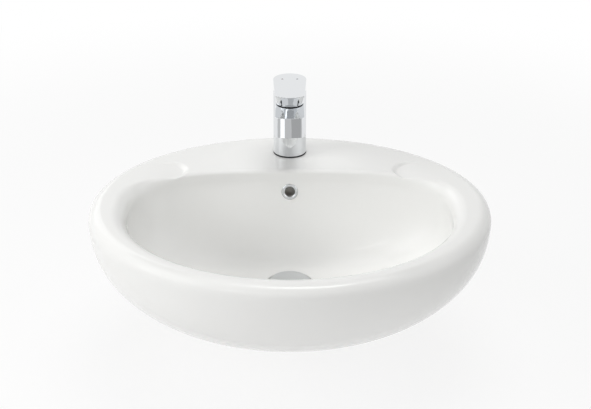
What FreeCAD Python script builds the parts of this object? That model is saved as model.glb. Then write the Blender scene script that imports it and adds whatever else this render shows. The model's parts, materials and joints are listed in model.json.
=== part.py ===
"""Semi recessed ceramic basin with its single lever mixer tap, overflow trim and push waste.

The basin stands half in front of the surface that carries it. While the pieces are drawn, y = 0 is the
plane of its front shoulders and z = 0 is the plane of the lip that it stands on. X runs to the right, Y
back to the wall and Z up. Every piece is moved by LIP_MIDDLE_Y as it is written, so that the origin is
the middle of the lip at the back.
"""
import FreeCAD, Part
import math
import os

os.makedirs("parts", exist_ok=True)
V = FreeCAD.Vector
UP = V(0, 0, 1)
SIDEWAYS = V(1, 0, 0)

# ---- Driving dimensions, millimetres -------------------------------------------------------------
# Basin, outside
BASIN_WIDTH = 560.0
FRONT_REACH = 247.0           # widest outline's middle to its front
BACK_REACH = 235.0            # widest outline's middle to its back
WIDEST_Y = 12.0               # the middle of the widest outline, behind the shoulders
CREST_Z = 40.0                # top of the rim above the lip
ROLL_RADIUS = 18.0            # outer rounding of the rim
BELLY_DEPTH = 166.0           # widest outline down to the lowest point
BELLY_POWER = 2.24            # superellipse power of the outside's side view
BELLY_LEAN = 16.7             # how far the lowest outline moves back under the widest one
UNDERSIDE_Z = -142.0          # flat underside round the waste hole
WALL = 12.0                   # thickness of the fired clay
PAD_HEIGHT = 1.5              # the shoulders' bearing pads stand this far behind the web
PAD_CLEARANCE = 8.0           # between the pads and the bowl's wall
PAD_INNER_X = 80.0
VENT_X = 60.0                 # casting vents into the hollow front
VENT_Z = -120.0
VENT_RADIUS = 4.0

# Basin, bowl
BOWL_HALF_WIDTH = 226.0       # below the rounded edge
BOWL_FRONT_Y = -195.0
BOWL_BACK_Y = 108.5
BOWL_WIDEST_Y = -5.0
BOWL_FLOOR_Z = -100.0
FLOOR_RADIUS = 38.0           # flat floor round the waste
BOWL_POWER = 2.4              # superellipse power of the bowl's side view
BACK_CORNER_POWER = 3.0       # the bowl's back corners are squarer than an ellipse
BACK_DRAFT = 0.35             # the bowl's back slopes forward, by this share of its reach over the full depth
EDGE_RADIUS = 20.0            # rounded edge at the bowl's front and sides
DECK_EDGE_RADIUS = 5.5        # tighter edge along the tap deck

# Soap ledges, one each side of the tap deck
LEDGE_RADIUS = 32.0
LEDGE_END = (181.0, 112.0)    # middle of the round end beside the tap deck
LEDGE_RUN = 57.5              # to the middle of the outer round end
LEDGE_HEADING = 220.0         # degrees in plan, of the left ledge's run
LEDGE_Z = 31.0                # floor at the bowl's side
LEDGE_TILT = 8.0              # degrees, the floor rises towards the rim
LEDGE_RAMP = 4.5              # degrees, the floor rises along its run until it fades into the rim
LEDGE_CORNER = 5.0

# Waste
WASTE_Y = 20.0
WASTE_HOLE_RADIUS = 23.0
WASTE_BOSS_RADIUS = 37.0
WASTE_TUBE_RADIUS = 20.95     # G 1 1/4 pipe thread, crests
WASTE_PITCH_RADIUS = 20.2     # the same thread's pitch radius, where a nut is in mesh with it
WASTE_BORE_RADIUS = 18.4
FLANGE_RADIUS = 31.5
RECESS_RADIUS = 33.5
RECESS_DEPTH = 3.5
FLANGE_LIP = 0.5              # the flange's edge above the bowl's floor
TAIL_END_Z = -208.0
SLOT_LOW_Z = -126.0
SLOT_HIGH_Z = -114.0
SLOT_HALF_WIDTH = 6.0
SEAL_RADIUS = 33.0            # tapered seal
PLUG_RADIUS = 30.0
PLUG_RISE = 3.4               # crown of the plug's top above its edge
PLUG_EDGE = 1.6
PLUG_SEAL_RADIUS = 20.4
PLUG_HUB_RADIUS = 9.0
HUB_DEPTH = 5.0
PLUG_LIFT = 9.0               # plug's travel from closed to open
PLUG_GAP = 1.3                # the closed plug's edge above the bowl's floor
SEAL_THICKNESS = 1.0
WASHER_Z = -152.0             # underside of the tapered seal
WASHER_THICKNESS = 2.0
NUT_BOTTOM_Z = -166.0
NUT_ACROSS_FLATS = 56.0
GUIDE_Z = -150.0              # underside of the stem guide inside the tube
GUIDE_TOP_Z = -122.0
GUIDE_THICKNESS = 5.0
GUIDE_HUB_RADIUS = 6.5
GUIDE_HOLE_RADIUS = 4.8
GUIDE_HOLE_CIRCLE = 12.3
STEM_RADIUS = 3.3
STEM_BELOW_CATCH = 1.0
CATCH_GAP = 0.2               # from the stem's catch to the guide when the plug is open
CATCH_RADIUS = 6.0
CATCH_LENGTH = 7.8
SPRING_RADIUS = 6.2           # outside of the coil
SPRING_BORE = 4.6

# Overflow
DUCT_HALF_WIDTH = 16.0
RIB_HALF_WIDTH = 24.0
OVERFLOW_Y = 106.2
OVERFLOW_Z = 6.0
OVERFLOW_TILT = 10.0          # degrees that the bowl's back wall leans there
OVERFLOW_HOLE_RADIUS = 11.6
RING_RADIUS = 12.2
RING_BORE_RADIUS = 7.5
RING_SEAT = 0.8               # depth of the flat that the ring sits on
SLEEVE_LENGTH = 16.0

# Tap
TAP_Y = 178.0
TAP_HOLE_RADIUS = 17.5
BASE_RADIUS = 25.0
NECK_RADIUS = 24.75
GASKET_THICKNESS = 2.0
SPOUT_TOP_Z = 139.5           # top of the body and the spout alike
TOP_CHAMFER = 0.5
SPOUT_TIP_Z = 112.0           # underside at the tip
SPOUT_TIP_Y = 60.0            # lower edge of the front face
SPOUT_LEAN = 10.0             # degrees, the front face leans back
SPOUT_FLAT = 44.0             # level stretch of the underside, from the tip
SPOUT_ROOT_Z = 97.0           # underside where it meets the body
SPOUT_CORNER = 6.0
SPOUT_BULGE = 3.0             # how far the spout's front face bows out
SPOUT_EDGE = 0.6
SPOUT_HALF_WIDTH = 21.0
OUTLET_Y = 84.0
LEVER_BOTTOM_Z = 140.3
LEVER_TOP_Z = 158.0
# Back's radius, half width and y of the tip's shoulders, tip's y
LEVER_UNDERSIDE = (24.5, 20.3, 126.0, 106.0)
LEVER_TOPSIDE = (24.8, 21.3, 106.0, 97.0)
LEVER_EDGE = 0.8
LEVER_HEEL = 4.0              # the underside slopes up behind a line this far in front of the tap's axis
LEVER_HEEL_SLOPE = 20.5       # degrees, a little more than the lever lifts
PIVOT_Z = 118.0               # the lever's lift axis, inside the cartridge
DOME_RADIUS = 24.0            # the dome is part of a sphere round the lift axis
POCKET_RADIUS = 17.6
POCKET_FLOOR_Z = 88.0
POCKET_MOUTH_RADIUS = 19.2
POCKET_MOUTH_Z = 127.0
SWEEP_BOTTOM_Z = 130.6        # lowest that the lever's skirt reaches at full lift
WATERWAY_RADIUS = 6.5
WATERWAY_Z = 124.0
INLET_X = 8.0
INLET_OFFSET = -4.0           # the inlets lie a little in front of the tap's axis
INLET_RADIUS = 4.45           # M10 x 1 thread, minor radius
INLET_LENGTH = 12.0
SUPPLY_RADIUS = 4.0           # smooth bore above the thread, where the supply tail's O-ring seals
PORT_RADIUS = 3.2
STUD_RADIUS = 4.0             # M8
STUD_OFFSET = 11.0            # behind the tap's axis
STUD_BOTTOM_Z = -30.0
STUD_GRIP = 15.0              # depth of the stud's hole in the body
HORSESHOE_RADIUS = 24.0
HORSESHOE_THICKNESS = 3.0
PLATE_THICKNESS = 2.5
CLAMP_NUT_HEIGHT = 8.0
SKIRT_RADIUS = 26.0           # the lever's skirt slides over the dome
HOUSING_RADIUS = 17.3         # 35 mm cartridge
BASE_TOP_Z = 96.0
DISC_TOP_Z = 100.0            # the faces that slide on each other
MOVING_TOP_Z = 103.5
CARRIER_TOP_Z = 107.4
HOUSING_BORE = 15.3
CARRIAGE_RADIUS = 12.5
CARRIAGE_BOTTOM_Z = 107.6
CARRIAGE_TOP_Z = 125.5
BALL_RADIUS = 2.6
BALL_Z = 106.6
PIN_RADIUS = 2.0
STEM_BAR = 8.0                # square
AERATOR_RADIUS = 11.2         # M24 thread, inside the spout
AERATOR_TOP_Z = 118.0
AERATOR_BOTTOM_Z = 109.0
AERATOR_BORE = 9.6
SCREW_Z = 152.6
DOT_RADIUS = 1.5
DOT_X = 11.0
DOT_Y = 177.0
DOT_DEPTH = 1.2
STEM_TOP_Z = 155.2
SCREW_RADIUS = 2.45
SCREW_LENGTH = 7.0
SKIRT_CUT_RADIUS = 15.0

LIP_MIDDLE_Y = 241.0

FIT = 0.3                     # gap between pieces that only pass near each other
RUN = 0.05                    # radial running fit
OUTLINE_POINTS = 48
SECTIONS = 10
FAR = 400.0                   # beyond every piece
DECK_UNDERSIDE_Z = CREST_Z - WALL
BODY_BOTTOM_Z = CREST_Z + GASKET_THICKNESS


# ---- Helpers -------------------------------------------------------------------------------------
def save(shape, name):
    """Write one piece, moved into the part's own frame."""
    shape.translate(V(0, -LIP_MIDDLE_Y, 0))
    shape.exportStep("parts/" + name + ".step")


def cylinder(radius, low, high, x=0.0, y=0.0):
    return Part.makeCylinder(radius, high - low, V(x, y, low))


def tube(outer, inner, low, high, x=0.0, y=0.0):
    return cylinder(outer, low, high, x, y).cut(cylinder(inner, low - 1, high + 1, x, y))


def box(x, y, z):
    """A block between two places along each axis."""
    return Part.makeBox(x[1] - x[0], y[1] - y[0], z[1] - z[0], V(x[0], y[0], z[0]))


def turned(profile, x=0.0, y=0.0):
    """A solid of revolution about a vertical axis, from (radius, height) corners."""
    points = [V(x + radius, y, height) for radius, height in profile]
    face = Part.Face(Part.makePolygon(points + points[:1]))
    return face.revolve(V(x, y, 0), UP, 360)


def slab_along_x(profile, half_width):
    """A solid from (y, z) corners, as wide as twice half_width."""
    points = [V(-half_width, y, z) for y, z in profile]
    return Part.Face(Part.makePolygon(points + points[:1])).extrude(V(2 * half_width, 0, 0))


def hexagon(across_flats, low, high, x=0.0, y=0.0):
    reach = across_flats / math.sqrt(3.0)
    corners = [V(x + reach * math.cos(math.radians(60 * k)), y + reach * math.sin(math.radians(60 * k)), low)
               for k in range(7)]
    return Part.Face(Part.makePolygon(corners)).extrude(V(0, 0, high - low))


def union(shapes):
    return shapes[0].multiFuse(shapes[1:]).removeSplitter()


def signed_power(value, power):
    return math.copysign(abs(value) ** power, value)


def outline(half_width, front, back, middle_y, z, back_power=2.0):
    """A closed smooth outline at one height: an ellipse in front, a superellipse behind."""
    points = []
    for step in range(OUTLINE_POINTS):
        angle = 2 * math.pi * step / OUTLINE_POINTS
        along = math.cos(angle)
        across = math.sin(angle)
        power = 2.0 / (back_power if across > 0 else 2.0)
        reach = back if across > 0 else front
        points.append(V(half_width * signed_power(along, power),
                        middle_y + reach * signed_power(across, power), z))
    curve = Part.BSplineCurve()
    curve.interpolate(Points=points, PeriodicFlag=True, Parameters=list(range(OUTLINE_POINTS + 1)))
    return Part.Wire(curve.toShape())


def quarter(power, share):
    """A point on a superellipse's quarter: (how wide, how deep), each from 0 to 1."""
    angle = share * math.pi / 2
    return math.cos(angle) ** (2 / power), math.sin(angle) ** (2 / power)


# ---- Basin ---------------------------------------------------------------------------------------
def outside(inset):
    """The basin's outside as a closed form, drawn in by inset all over."""
    half_width = BASIN_WIDTH / 2 - inset
    front = FRONT_REACH - inset
    back = BACK_REACH - inset
    widest_z = CREST_Z - ROLL_RADIUS
    roll = ROLL_RADIUS - inset
    belly = []
    for step in range(SECTIONS):
        wide, deep = quarter(BELLY_POWER, step / (SECTIONS - 0.3))
        middle = WIDEST_Y + BELLY_LEAN * deep ** 1.5
        belly.append(outline(half_width * wide, front * wide, back * wide, middle,
                             widest_z - (BELLY_DEPTH - inset) * deep))
    rim = []
    for step in range(6):
        angle = step / 5 * math.pi / 2
        less = roll * (1 - math.cos(angle))
        rim.append(outline(half_width - less, front - less, back - less, WIDEST_Y,
                           widest_z + roll * math.sin(angle)))
    return Part.makeLoft(belly, True).fuse(Part.makeLoft(rim, True))


def bowl_outline(share, growth, top_z):
    """One outline of the bowl below its rounded edge; share runs from 0 at the top to 1 at the floor."""
    wide, deep = quarter(BOWL_POWER, share)
    middle = BOWL_WIDEST_Y + (WASTE_Y - BOWL_WIDEST_Y) * deep ** 2
    front_y = WASTE_Y - FLOOR_RADIUS - (WASTE_Y - FLOOR_RADIUS - BOWL_FRONT_Y) * wide
    back_y = WASTE_Y + FLOOR_RADIUS + (BOWL_BACK_Y - WASTE_Y - FLOOR_RADIUS) * wide * (1 - BACK_DRAFT * deep)
    half_width = FLOOR_RADIUS + (BOWL_HALF_WIDTH - FLOOR_RADIUS) * wide
    corner = 2.0 + (BACK_CORNER_POWER - 2.0) * wide
    return outline(half_width + growth, middle - front_y + growth, back_y - middle + growth, middle,
                   top_z - (top_z + growth - BOWL_FLOOR_Z) * deep, corner)


def bowl(growth):
    """The bowl's hollow, or with growth the outside of its wall, up to where its edge starts to round."""
    top_z = CREST_Z - EDGE_RADIUS
    return Part.makeLoft([bowl_outline(step / SECTIONS, growth, top_z) for step in range(SECTIONS + 1)], True)


def bowl_edge():
    """The hollow above the bowl, whose sides flare out to the rim's flat top."""
    rings = []
    for step in range(7):
        angle = step / 6 * math.pi / 2
        height = EDGE_RADIUS * math.sin(angle)
        flare = EDGE_RADIUS * (1 - math.cos(angle))
        deck_height = max(0.0, height - (EDGE_RADIUS - DECK_EDGE_RADIUS))
        deck_flare = DECK_EDGE_RADIUS - math.sqrt(DECK_EDGE_RADIUS ** 2 - deck_height ** 2)
        rings.append(outline(BOWL_HALF_WIDTH + flare, BOWL_WIDEST_Y - BOWL_FRONT_Y + flare,
                             BOWL_BACK_Y - BOWL_WIDEST_Y + deck_flare, BOWL_WIDEST_Y,
                             CREST_Z - EDGE_RADIUS + height, BACK_CORNER_POWER))
    return Part.makeLoft(rings, True)


def soap_ledge_cut():
    """The left ledge's hollow: a round ended tray, tilted so that it fades out towards the rim."""
    ends = [V(0, -LEDGE_RADIUS, 0), V(0, LEDGE_RADIUS, 0)]
    far = [V(LEDGE_RUN, LEDGE_RADIUS, 0), V(LEDGE_RUN, -LEDGE_RADIUS, 0)]
    edges = [Part.Arc(ends[0], V(-LEDGE_RADIUS, 0, 0), ends[1]).toShape(),
             Part.LineSegment(ends[1], far[0]).toShape(),
             Part.Arc(far[0], V(LEDGE_RUN + LEDGE_RADIUS, 0, 0), far[1]).toShape(),
             Part.LineSegment(far[1], ends[0]).toShape()]
    tray = Part.Face(Part.Wire(edges)).extrude(V(0, 0, 2 * LEDGE_RADIUS))
    floor_edges = [edge for edge in tray.Edges if edge.BoundBox.ZMax < 0.01]
    tray = tray.makeFillet(LEDGE_CORNER, floor_edges)
    tray.rotate(V(0, LEDGE_RADIUS, 0), SIDEWAYS, -LEDGE_TILT)
    tray.rotate(V(-LEDGE_RADIUS, 0, 0), V(0, 1, 0), -LEDGE_RAMP)
    tray.rotate(V(0, 0, 0), UP, LEDGE_HEADING)
    tray.translate(V(-LEDGE_END[0], LEDGE_END[1], LEDGE_Z))
    return tray


def overflow_rib():
    """The clay round the duct that runs down the bowl's back from the overflow to the waste hole."""
    front = BOWL_BACK_Y - 2
    back = BOWL_BACK_Y + 32
    floor = UNDERSIDE_Z + 6
    return slab_along_x([(front, DECK_UNDERSIDE_Z + 1), (back, DECK_UNDERSIDE_Z + 1), (back, -68),
                         (front - 1, floor), (WASTE_Y + 10, floor), (WASTE_Y + 10, floor + 32),
                         (WASTE_Y + 60, floor + 32), (front, -60)], RIB_HALF_WIDTH)


def overflow_duct():
    """The hollow inside the rib, which opens into the waste hole below the flange."""
    front = BOWL_BACK_Y + 10
    back = BOWL_BACK_Y + 24
    floor = UNDERSIDE_Z + 14
    return slab_along_x([(front, CREST_Z - EDGE_RADIUS), (back, CREST_Z - EDGE_RADIUS), (back, -64),
                         (front - 18, floor), (WASTE_Y + 15, floor), (WASTE_Y + 15, floor + 12),
                         (front - 28, floor + 15), (front, -64)], DUCT_HALF_WIDTH)


def overflow_axis():
    """Square to the bowl's back wall, into the duct."""
    lean = math.radians(OVERFLOW_TILT)
    return V(0, math.cos(lean), -math.sin(lean))


def overflow_bore(radius, depth):
    """A bore into the bowl's back wall, to a depth behind the wall's face."""
    in_front = 8.0
    start = V(0, OVERFLOW_Y, OVERFLOW_Z) - overflow_axis() * in_front
    return Part.makeCylinder(radius, depth + in_front, start, overflow_axis())


def bowl_edge_wall():
    """The bowl's wall between its rounded edge and the rim's hollow, straight up."""
    top_z = CREST_Z - EDGE_RADIUS
    return Part.Face(bowl_outline(0.0, WALL, top_z)).extrude(V(0, 0, DECK_UNDERSIDE_Z + 1 - top_z))


def make_shoulders(whole):
    """The web that closes the front behind, with a bearing pad at each side clear of the bowl's wall."""
    web = whole.common(box((-FAR, FAR), (-WALL, -PAD_HEIGHT), (-FAR, DECK_UNDERSIDE_Z + 1)))
    pads = whole.common(box((-FAR, FAR), (-WALL, 0), (-FAR, DECK_UNDERSIDE_Z + 1)))
    pads = pads.cut(bowl(WALL + PAD_CLEARANCE)).cut(box((-PAD_INNER_X, PAD_INNER_X), (-FAR, FAR), (-FAR, 0)))
    shoulders = web.fuse(pads)
    for side in (-1, 1):
        vent = Part.makeCylinder(VENT_RADIUS, FAR, V(side * VENT_X, -FAR, VENT_Z), V(0, 1, 0))
        shoulders = shoulders.cut(vent)
    return shoulders


def make_basin():
    whole = outside(0.0)
    behind_shoulders = box((-FAR, FAR), (0, FAR), (-FAR, 0))
    clay = whole.cut(outside(WALL)).cut(behind_shoulders)
    walls = [make_shoulders(whole),
             bowl(WALL).fuse(bowl_edge_wall()),
             cylinder(WASTE_BOSS_RADIUS, UNDERSIDE_Z, BOWL_FLOOR_Z - RECESS_DEPTH, 0, WASTE_Y),
             overflow_rib()]
    for wall in walls:
        clay = clay.fuse(wall)
    ledge = soap_ledge_cut()
    hollows = [bowl(0.0), bowl_edge(), ledge, ledge.mirror(V(0, 0, 0), SIDEWAYS), overflow_duct(),
               overflow_bore(OVERFLOW_HOLE_RADIUS, WALL + 8), overflow_bore(RING_RADIUS + FIT, RING_SEAT),
               cylinder(WASTE_HOLE_RADIUS, -FAR, 0, 0, WASTE_Y),
               cylinder(RECESS_RADIUS, BOWL_FLOOR_Z - RECESS_DEPTH, 0, 0, WASTE_Y),
               cylinder(TAP_HOLE_RADIUS, 0, FAR, 0, TAP_Y),
               box((-FAR, FAR), (-FAR, FAR), (-FAR, UNDERSIDE_Z))]
    for hollow in hollows:
        clay = clay.cut(hollow)
    return clay.Solids[0]


def make_overflow_ring():
    """A domed trim ring with a sleeve that plugs into the overflow hole."""
    sleeve = OVERFLOW_HOLE_RADIUS - 0.4
    bore = sleeve - 1.8
    ring = turned([(bore, -SLEEVE_LENGTH), (sleeve, -SLEEVE_LENGTH), (sleeve, 0), (RING_RADIUS, 0),
                   (RING_RADIUS, 0.9), (RING_RADIUS - 1.2, 2.0), (RING_BORE_RADIUS + 1.4, 2.0),
                   (RING_BORE_RADIUS, 0.9), (RING_BORE_RADIUS, -2), (bore, -2)])
    ring.rotate(V(0, 0, 0), SIDEWAYS, 90 - OVERFLOW_TILT)
    ring.translate(V(0, OVERFLOW_Y, OVERFLOW_Z) + overflow_axis() * RING_SEAT)
    return ring


# ---- Push waste ----------------------------------------------------------------------------------
def make_waste_body():
    """Flange and slotted tube in one brass casting, chrome plated."""
    seat_z = BOWL_FLOOR_Z - RECESS_DEPTH + SEAL_THICKNESS
    top_z = BOWL_FLOOR_Z + FLANGE_LIP
    mouth = WASTE_BORE_RADIUS + 3.6
    body = turned([(WASTE_BORE_RADIUS, TAIL_END_Z), (WASTE_TUBE_RADIUS, TAIL_END_Z),
                   (WASTE_TUBE_RADIUS, NUT_BOTTOM_Z), (WASTE_PITCH_RADIUS, NUT_BOTTOM_Z),
                   (WASTE_PITCH_RADIUS, seat_z), (FLANGE_RADIUS, seat_z), (FLANGE_RADIUS, top_z - 1.2),
                   (FLANGE_RADIUS - 2, top_z), (mouth, top_z - 1.0), (WASTE_BORE_RADIUS, top_z - 5.5)],
                  0, WASTE_Y)
    heights = (SLOT_LOW_Z, SLOT_HIGH_Z)
    reach = FLANGE_RADIUS
    body = body.cut(box((-reach, reach), (WASTE_Y - SLOT_HALF_WIDTH, WASTE_Y + SLOT_HALF_WIDTH), heights))
    return body.cut(box((-SLOT_HALF_WIDTH, SLOT_HALF_WIDTH), (WASTE_Y - reach, WASTE_Y + reach), heights))


def make_waste_seals():
    seat_z = BOWL_FLOOR_Z - RECESS_DEPTH
    hole = WASTE_TUBE_RADIUS + FIT
    washer_bottom_z = WASHER_Z - WASHER_THICKNESS
    save(tube(FLANGE_RADIUS - 1, WASTE_HOLE_RADIUS + 1, seat_z, seat_z + SEAL_THICKNESS, 0, WASTE_Y),
         "waste_upper_seal")
    save(turned([(hole, UNDERSIDE_Z), (SEAL_RADIUS, UNDERSIDE_Z), (SEAL_RADIUS, UNDERSIDE_Z - 5),
                 (SEAL_RADIUS - 5, WASHER_Z), (hole, WASHER_Z)], 0, WASTE_Y), "waste_lower_seal")
    save(tube(SEAL_RADIUS - 1, hole, washer_bottom_z, WASHER_Z, 0, WASTE_Y), "waste_washer")
    nut = hexagon(NUT_ACROSS_FLATS, NUT_BOTTOM_Z, washer_bottom_z, 0, WASTE_Y)
    save(nut.cut(cylinder(WASTE_PITCH_RADIUS + RUN, -FAR, 0, 0, WASTE_Y)), "waste_backnut")


def make_plug_guide():
    """A spoked disc across the waste tube, whose hub guides the plug's stem."""
    disc = cylinder(WASTE_BORE_RADIUS - RUN, GUIDE_Z, GUIDE_Z + GUIDE_THICKNESS, 0, WASTE_Y)
    for step in range(4):
        angle = math.radians(45 + 90 * step)
        disc = disc.cut(cylinder(GUIDE_HOLE_RADIUS, -FAR, 0, GUIDE_HOLE_CIRCLE * math.cos(angle),
                                 WASTE_Y + GUIDE_HOLE_CIRCLE * math.sin(angle)))
    hub = cylinder(GUIDE_HUB_RADIUS, GUIDE_Z, GUIDE_TOP_Z, 0, WASTE_Y)
    return disc.fuse(hub).cut(cylinder(STEM_RADIUS + RUN, -FAR, 0, 0, WASTE_Y)).removeSplitter()


def make_plug():
    """The plug is shut, its seal inside the flange; it opens by PLUG_LIFT."""
    rim_z = BOWL_FLOOR_Z + PLUG_GAP
    hub_z = rim_z - HUB_DEPTH
    crown_z = rim_z + PLUG_EDGE + PLUG_RISE
    curve_radius = (PLUG_RADIUS ** 2 + PLUG_RISE ** 2) / (2 * PLUG_RISE)
    crown = Part.makeSphere(curve_radius, V(0, WASTE_Y, crown_z - curve_radius))
    cap = cylinder(PLUG_RADIUS, rim_z, crown_z + 1, 0, WASTE_Y).common(crown)
    cap = cap.fuse(cylinder(PLUG_HUB_RADIUS, hub_z, rim_z + 1, 0, WASTE_Y)).removeSplitter()
    stem_top_z = rim_z - 1
    save(cap.cut(cylinder(STEM_RADIUS, hub_z - 1, stem_top_z, 0, WASTE_Y)).Solids[0], "plug_cap")
    save(tube(PLUG_SEAL_RADIUS, PLUG_HUB_RADIUS, rim_z - 3, rim_z, 0, WASTE_Y), "plug_seal")
    catch_top_z = GUIDE_Z - CATCH_GAP - PLUG_LIFT
    catch_z = catch_top_z - CATCH_LENGTH
    save(cylinder(STEM_RADIUS, catch_z - STEM_BELOW_CATCH, stem_top_z, 0, WASTE_Y), "plug_stem")
    save(tube(CATCH_RADIUS, STEM_RADIUS, catch_z, catch_top_z, 0, WASTE_Y), "stem_catch")
    save(tube(SPRING_RADIUS, SPRING_BORE, GUIDE_TOP_Z, hub_z, 0, WASTE_Y), "plug_spring")


# ---- Tap body and its fixing ---------------------------------------------------------------------
def make_spout():
    """The spout: its side view, cut to a plan with a bowed front that leans back and has round corners."""
    front_y = SPOUT_TIP_Y - 1
    side = slab_along_x([(TAP_Y, SPOUT_TOP_Z), (front_y, SPOUT_TOP_Z), (front_y, SPOUT_TIP_Z),
                         (SPOUT_TIP_Y + SPOUT_FLAT, SPOUT_TIP_Z), (TAP_Y - 22, SPOUT_ROOT_Z),
                         (TAP_Y, SPOUT_ROOT_Z)], SPOUT_HALF_WIDTH + 1)
    tip_y = SPOUT_TIP_Y + SPOUT_BULGE
    plan_corners = ((1, tip_y), (1, TAP_Y + 1), (-1, TAP_Y + 1), (-1, tip_y))
    corners = [V(side_of_x * SPOUT_HALF_WIDTH, y, SPOUT_TIP_Z) for side_of_x, y in plan_corners]
    edges = [Part.LineSegment(a, b).toShape() for a, b in zip(corners, corners[1:])]
    edges.append(Part.Arc(corners[3], V(0, SPOUT_TIP_Y, SPOUT_TIP_Z), corners[0]).toShape())
    height = SPOUT_TOP_Z - SPOUT_ROOT_Z
    upward = V(0, height * math.tan(math.radians(SPOUT_LEAN)), height)
    plan = Part.Face(Part.Wire(edges)).extrude(upward)
    plan.translate(-upward * ((SPOUT_TIP_Z - SPOUT_ROOT_Z) / height))
    tips = [edge for edge in plan.Edges if edge.BoundBox.ZLength > height / 2
            and edge.BoundBox.YMin < SPOUT_TIP_Y + SPOUT_BULGE + 0.1]
    spout = side.common(plan.makeFillet(SPOUT_CORNER, tips))
    rims = [edge for edge in spout.Edges if edge.BoundBox.ZMin > SPOUT_TOP_Z - 0.1
            and edge.BoundBox.YMin < TAP_Y - 40]
    return spout.makeFillet(SPOUT_EDGE, rims)


def tap_pivot():
    return V(0, TAP_Y, PIVOT_Z)


def make_tap_body():
    """Body and spout in one casting, hollow for the cartridge, the waterway and the inlets."""
    shell = turned([(0, BODY_BOTTOM_Z), (BASE_RADIUS - TOP_CHAMFER, BODY_BOTTOM_Z),
                    (BASE_RADIUS, BODY_BOTTOM_Z + TOP_CHAMFER), (NECK_RADIUS, SPOUT_TOP_Z - TOP_CHAMFER),
                    (NECK_RADIUS - TOP_CHAMFER, SPOUT_TOP_Z), (0, SPOUT_TOP_Z)], 0, TAP_Y)
    body = shell.fuse(make_spout())
    sweep = Part.makeSphere(SKIRT_RADIUS + 0.4, tap_pivot())
    sweep = sweep.common(box((-FAR, FAR), (0, FAR), (SWEEP_BOTTOM_Z, FAR)))
    waterway = Part.makeCylinder(WATERWAY_RADIUS, TAP_Y - OUTLET_Y - 10, V(0, OUTLET_Y - 2, WATERWAY_Z),
                                 V(0, 1, 0))
    hollows = [cylinder(POCKET_RADIUS, POCKET_FLOOR_Z, FAR, 0, TAP_Y), sweep, waterway,
               cylinder(POCKET_MOUTH_RADIUS, POCKET_MOUTH_Z, FAR, 0, TAP_Y),
               cylinder(AERATOR_RADIUS + RUN, SPOUT_TIP_Z - 10, AERATOR_TOP_Z + 2, 0, OUTLET_Y),
               cylinder(WATERWAY_RADIUS, SPOUT_TIP_Z, WATERWAY_Z, 0, OUTLET_Y),
               cylinder(STUD_RADIUS + RUN, 0, BODY_BOTTOM_Z + STUD_GRIP + 1, 0, TAP_Y + STUD_OFFSET)]
    for side in (-1, 1):
        place = (side * INLET_X, TAP_Y + INLET_OFFSET)
        hollows.append(cylinder(INLET_RADIUS, 0, BODY_BOTTOM_Z + INLET_LENGTH, place[0], place[1]))
        hollows.append(cylinder(SUPPLY_RADIUS, 0, POCKET_FLOOR_Z + 1, place[0], place[1]))
    for hollow in hollows:
        body = body.cut(hollow)
    return body.removeSplitter().Solids[0]


def horseshoe(radius, low, high):
    """A plate under the deck, open to the front for the supply pipes."""
    mouth = INLET_X + INLET_RADIUS + 0.5
    plate = cylinder(radius, low, high, 0, TAP_Y)
    plate = plate.cut(box((-mouth, mouth), (0, TAP_Y + 5), (low - 1, high + 1)))
    return plate.cut(cylinder(STUD_RADIUS + FIT, low - 1, high + 1, 0, TAP_Y + STUD_OFFSET))


def make_tap_fixing():
    stud_y = TAP_Y + STUD_OFFSET
    rubber_z = DECK_UNDERSIDE_Z - HORSESHOE_THICKNESS
    plate_z = rubber_z - PLATE_THICKNESS
    save(tube(BASE_RADIUS, TAP_HOLE_RADIUS + 0.5, CREST_Z, BODY_BOTTOM_Z, 0, TAP_Y), "base_gasket")
    save(cylinder(STUD_RADIUS, STUD_BOTTOM_Z, BODY_BOTTOM_Z + STUD_GRIP, 0, stud_y), "mounting_stud")
    save(horseshoe(HORSESHOE_RADIUS, rubber_z, DECK_UNDERSIDE_Z), "rubber_horseshoe")
    save(horseshoe(HORSESHOE_RADIUS - 1, plate_z, rubber_z), "clamp_plate")
    nut = hexagon(13, plate_z - CLAMP_NUT_HEIGHT, plate_z, 0, stud_y)
    save(nut.cut(cylinder(STUD_RADIUS + RUN, -FAR, FAR, 0, stud_y)), "clamp_nut")


def make_aerator():
    rim = AERATOR_RADIUS + 1
    housing = turned([(AERATOR_BORE, AERATOR_BOTTOM_Z + 0.6), (AERATOR_BORE, AERATOR_TOP_Z),
                      (AERATOR_RADIUS, AERATOR_TOP_Z), (AERATOR_RADIUS, SPOUT_TIP_Z), (rim, SPOUT_TIP_Z),
                      (rim, AERATOR_BOTTOM_Z + 0.6), (rim - 0.6, AERATOR_BOTTOM_Z),
                      (AERATOR_BORE + 0.6, AERATOR_BOTTOM_Z)], 0, OUTLET_Y)
    save(housing, "aerator_housing")
    insert = cylinder(AERATOR_BORE - 0.1, AERATOR_BOTTOM_Z + 1.2, AERATOR_TOP_Z - 0.5, 0, OUTLET_Y)
    spacing = 3.1
    for ring in range(3):
        count = max(1, 6 * ring)
        for step in range(count):
            angle = 2 * math.pi * step / count
            insert = insert.cut(cylinder(1.0, 0, FAR, ring * spacing * math.cos(angle),
                                         OUTLET_Y + ring * spacing * math.sin(angle)))
    save(insert, "aerator_insert")
    save(tube(AERATOR_RADIUS - FIT, 7.5, AERATOR_TOP_Z, AERATOR_TOP_Z + 1.6, 0, OUTLET_Y), "aerator_seal")


# ---- Cartridge -----------------------------------------------------------------------------------
def ported_disc(radius, low, high):
    """A disc with two inlet holes in front and an outlet hole behind."""
    disc = cylinder(radius, low, high, 0, TAP_Y)
    for side in (-1, 1):
        disc = disc.cut(cylinder(PORT_RADIUS, low - 1, high + 1, side * INLET_X, TAP_Y + INLET_OFFSET))
    return disc.cut(cylinder(PORT_RADIUS + 1, low - 1, high + 1, 0, TAP_Y + 7.5))


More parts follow.
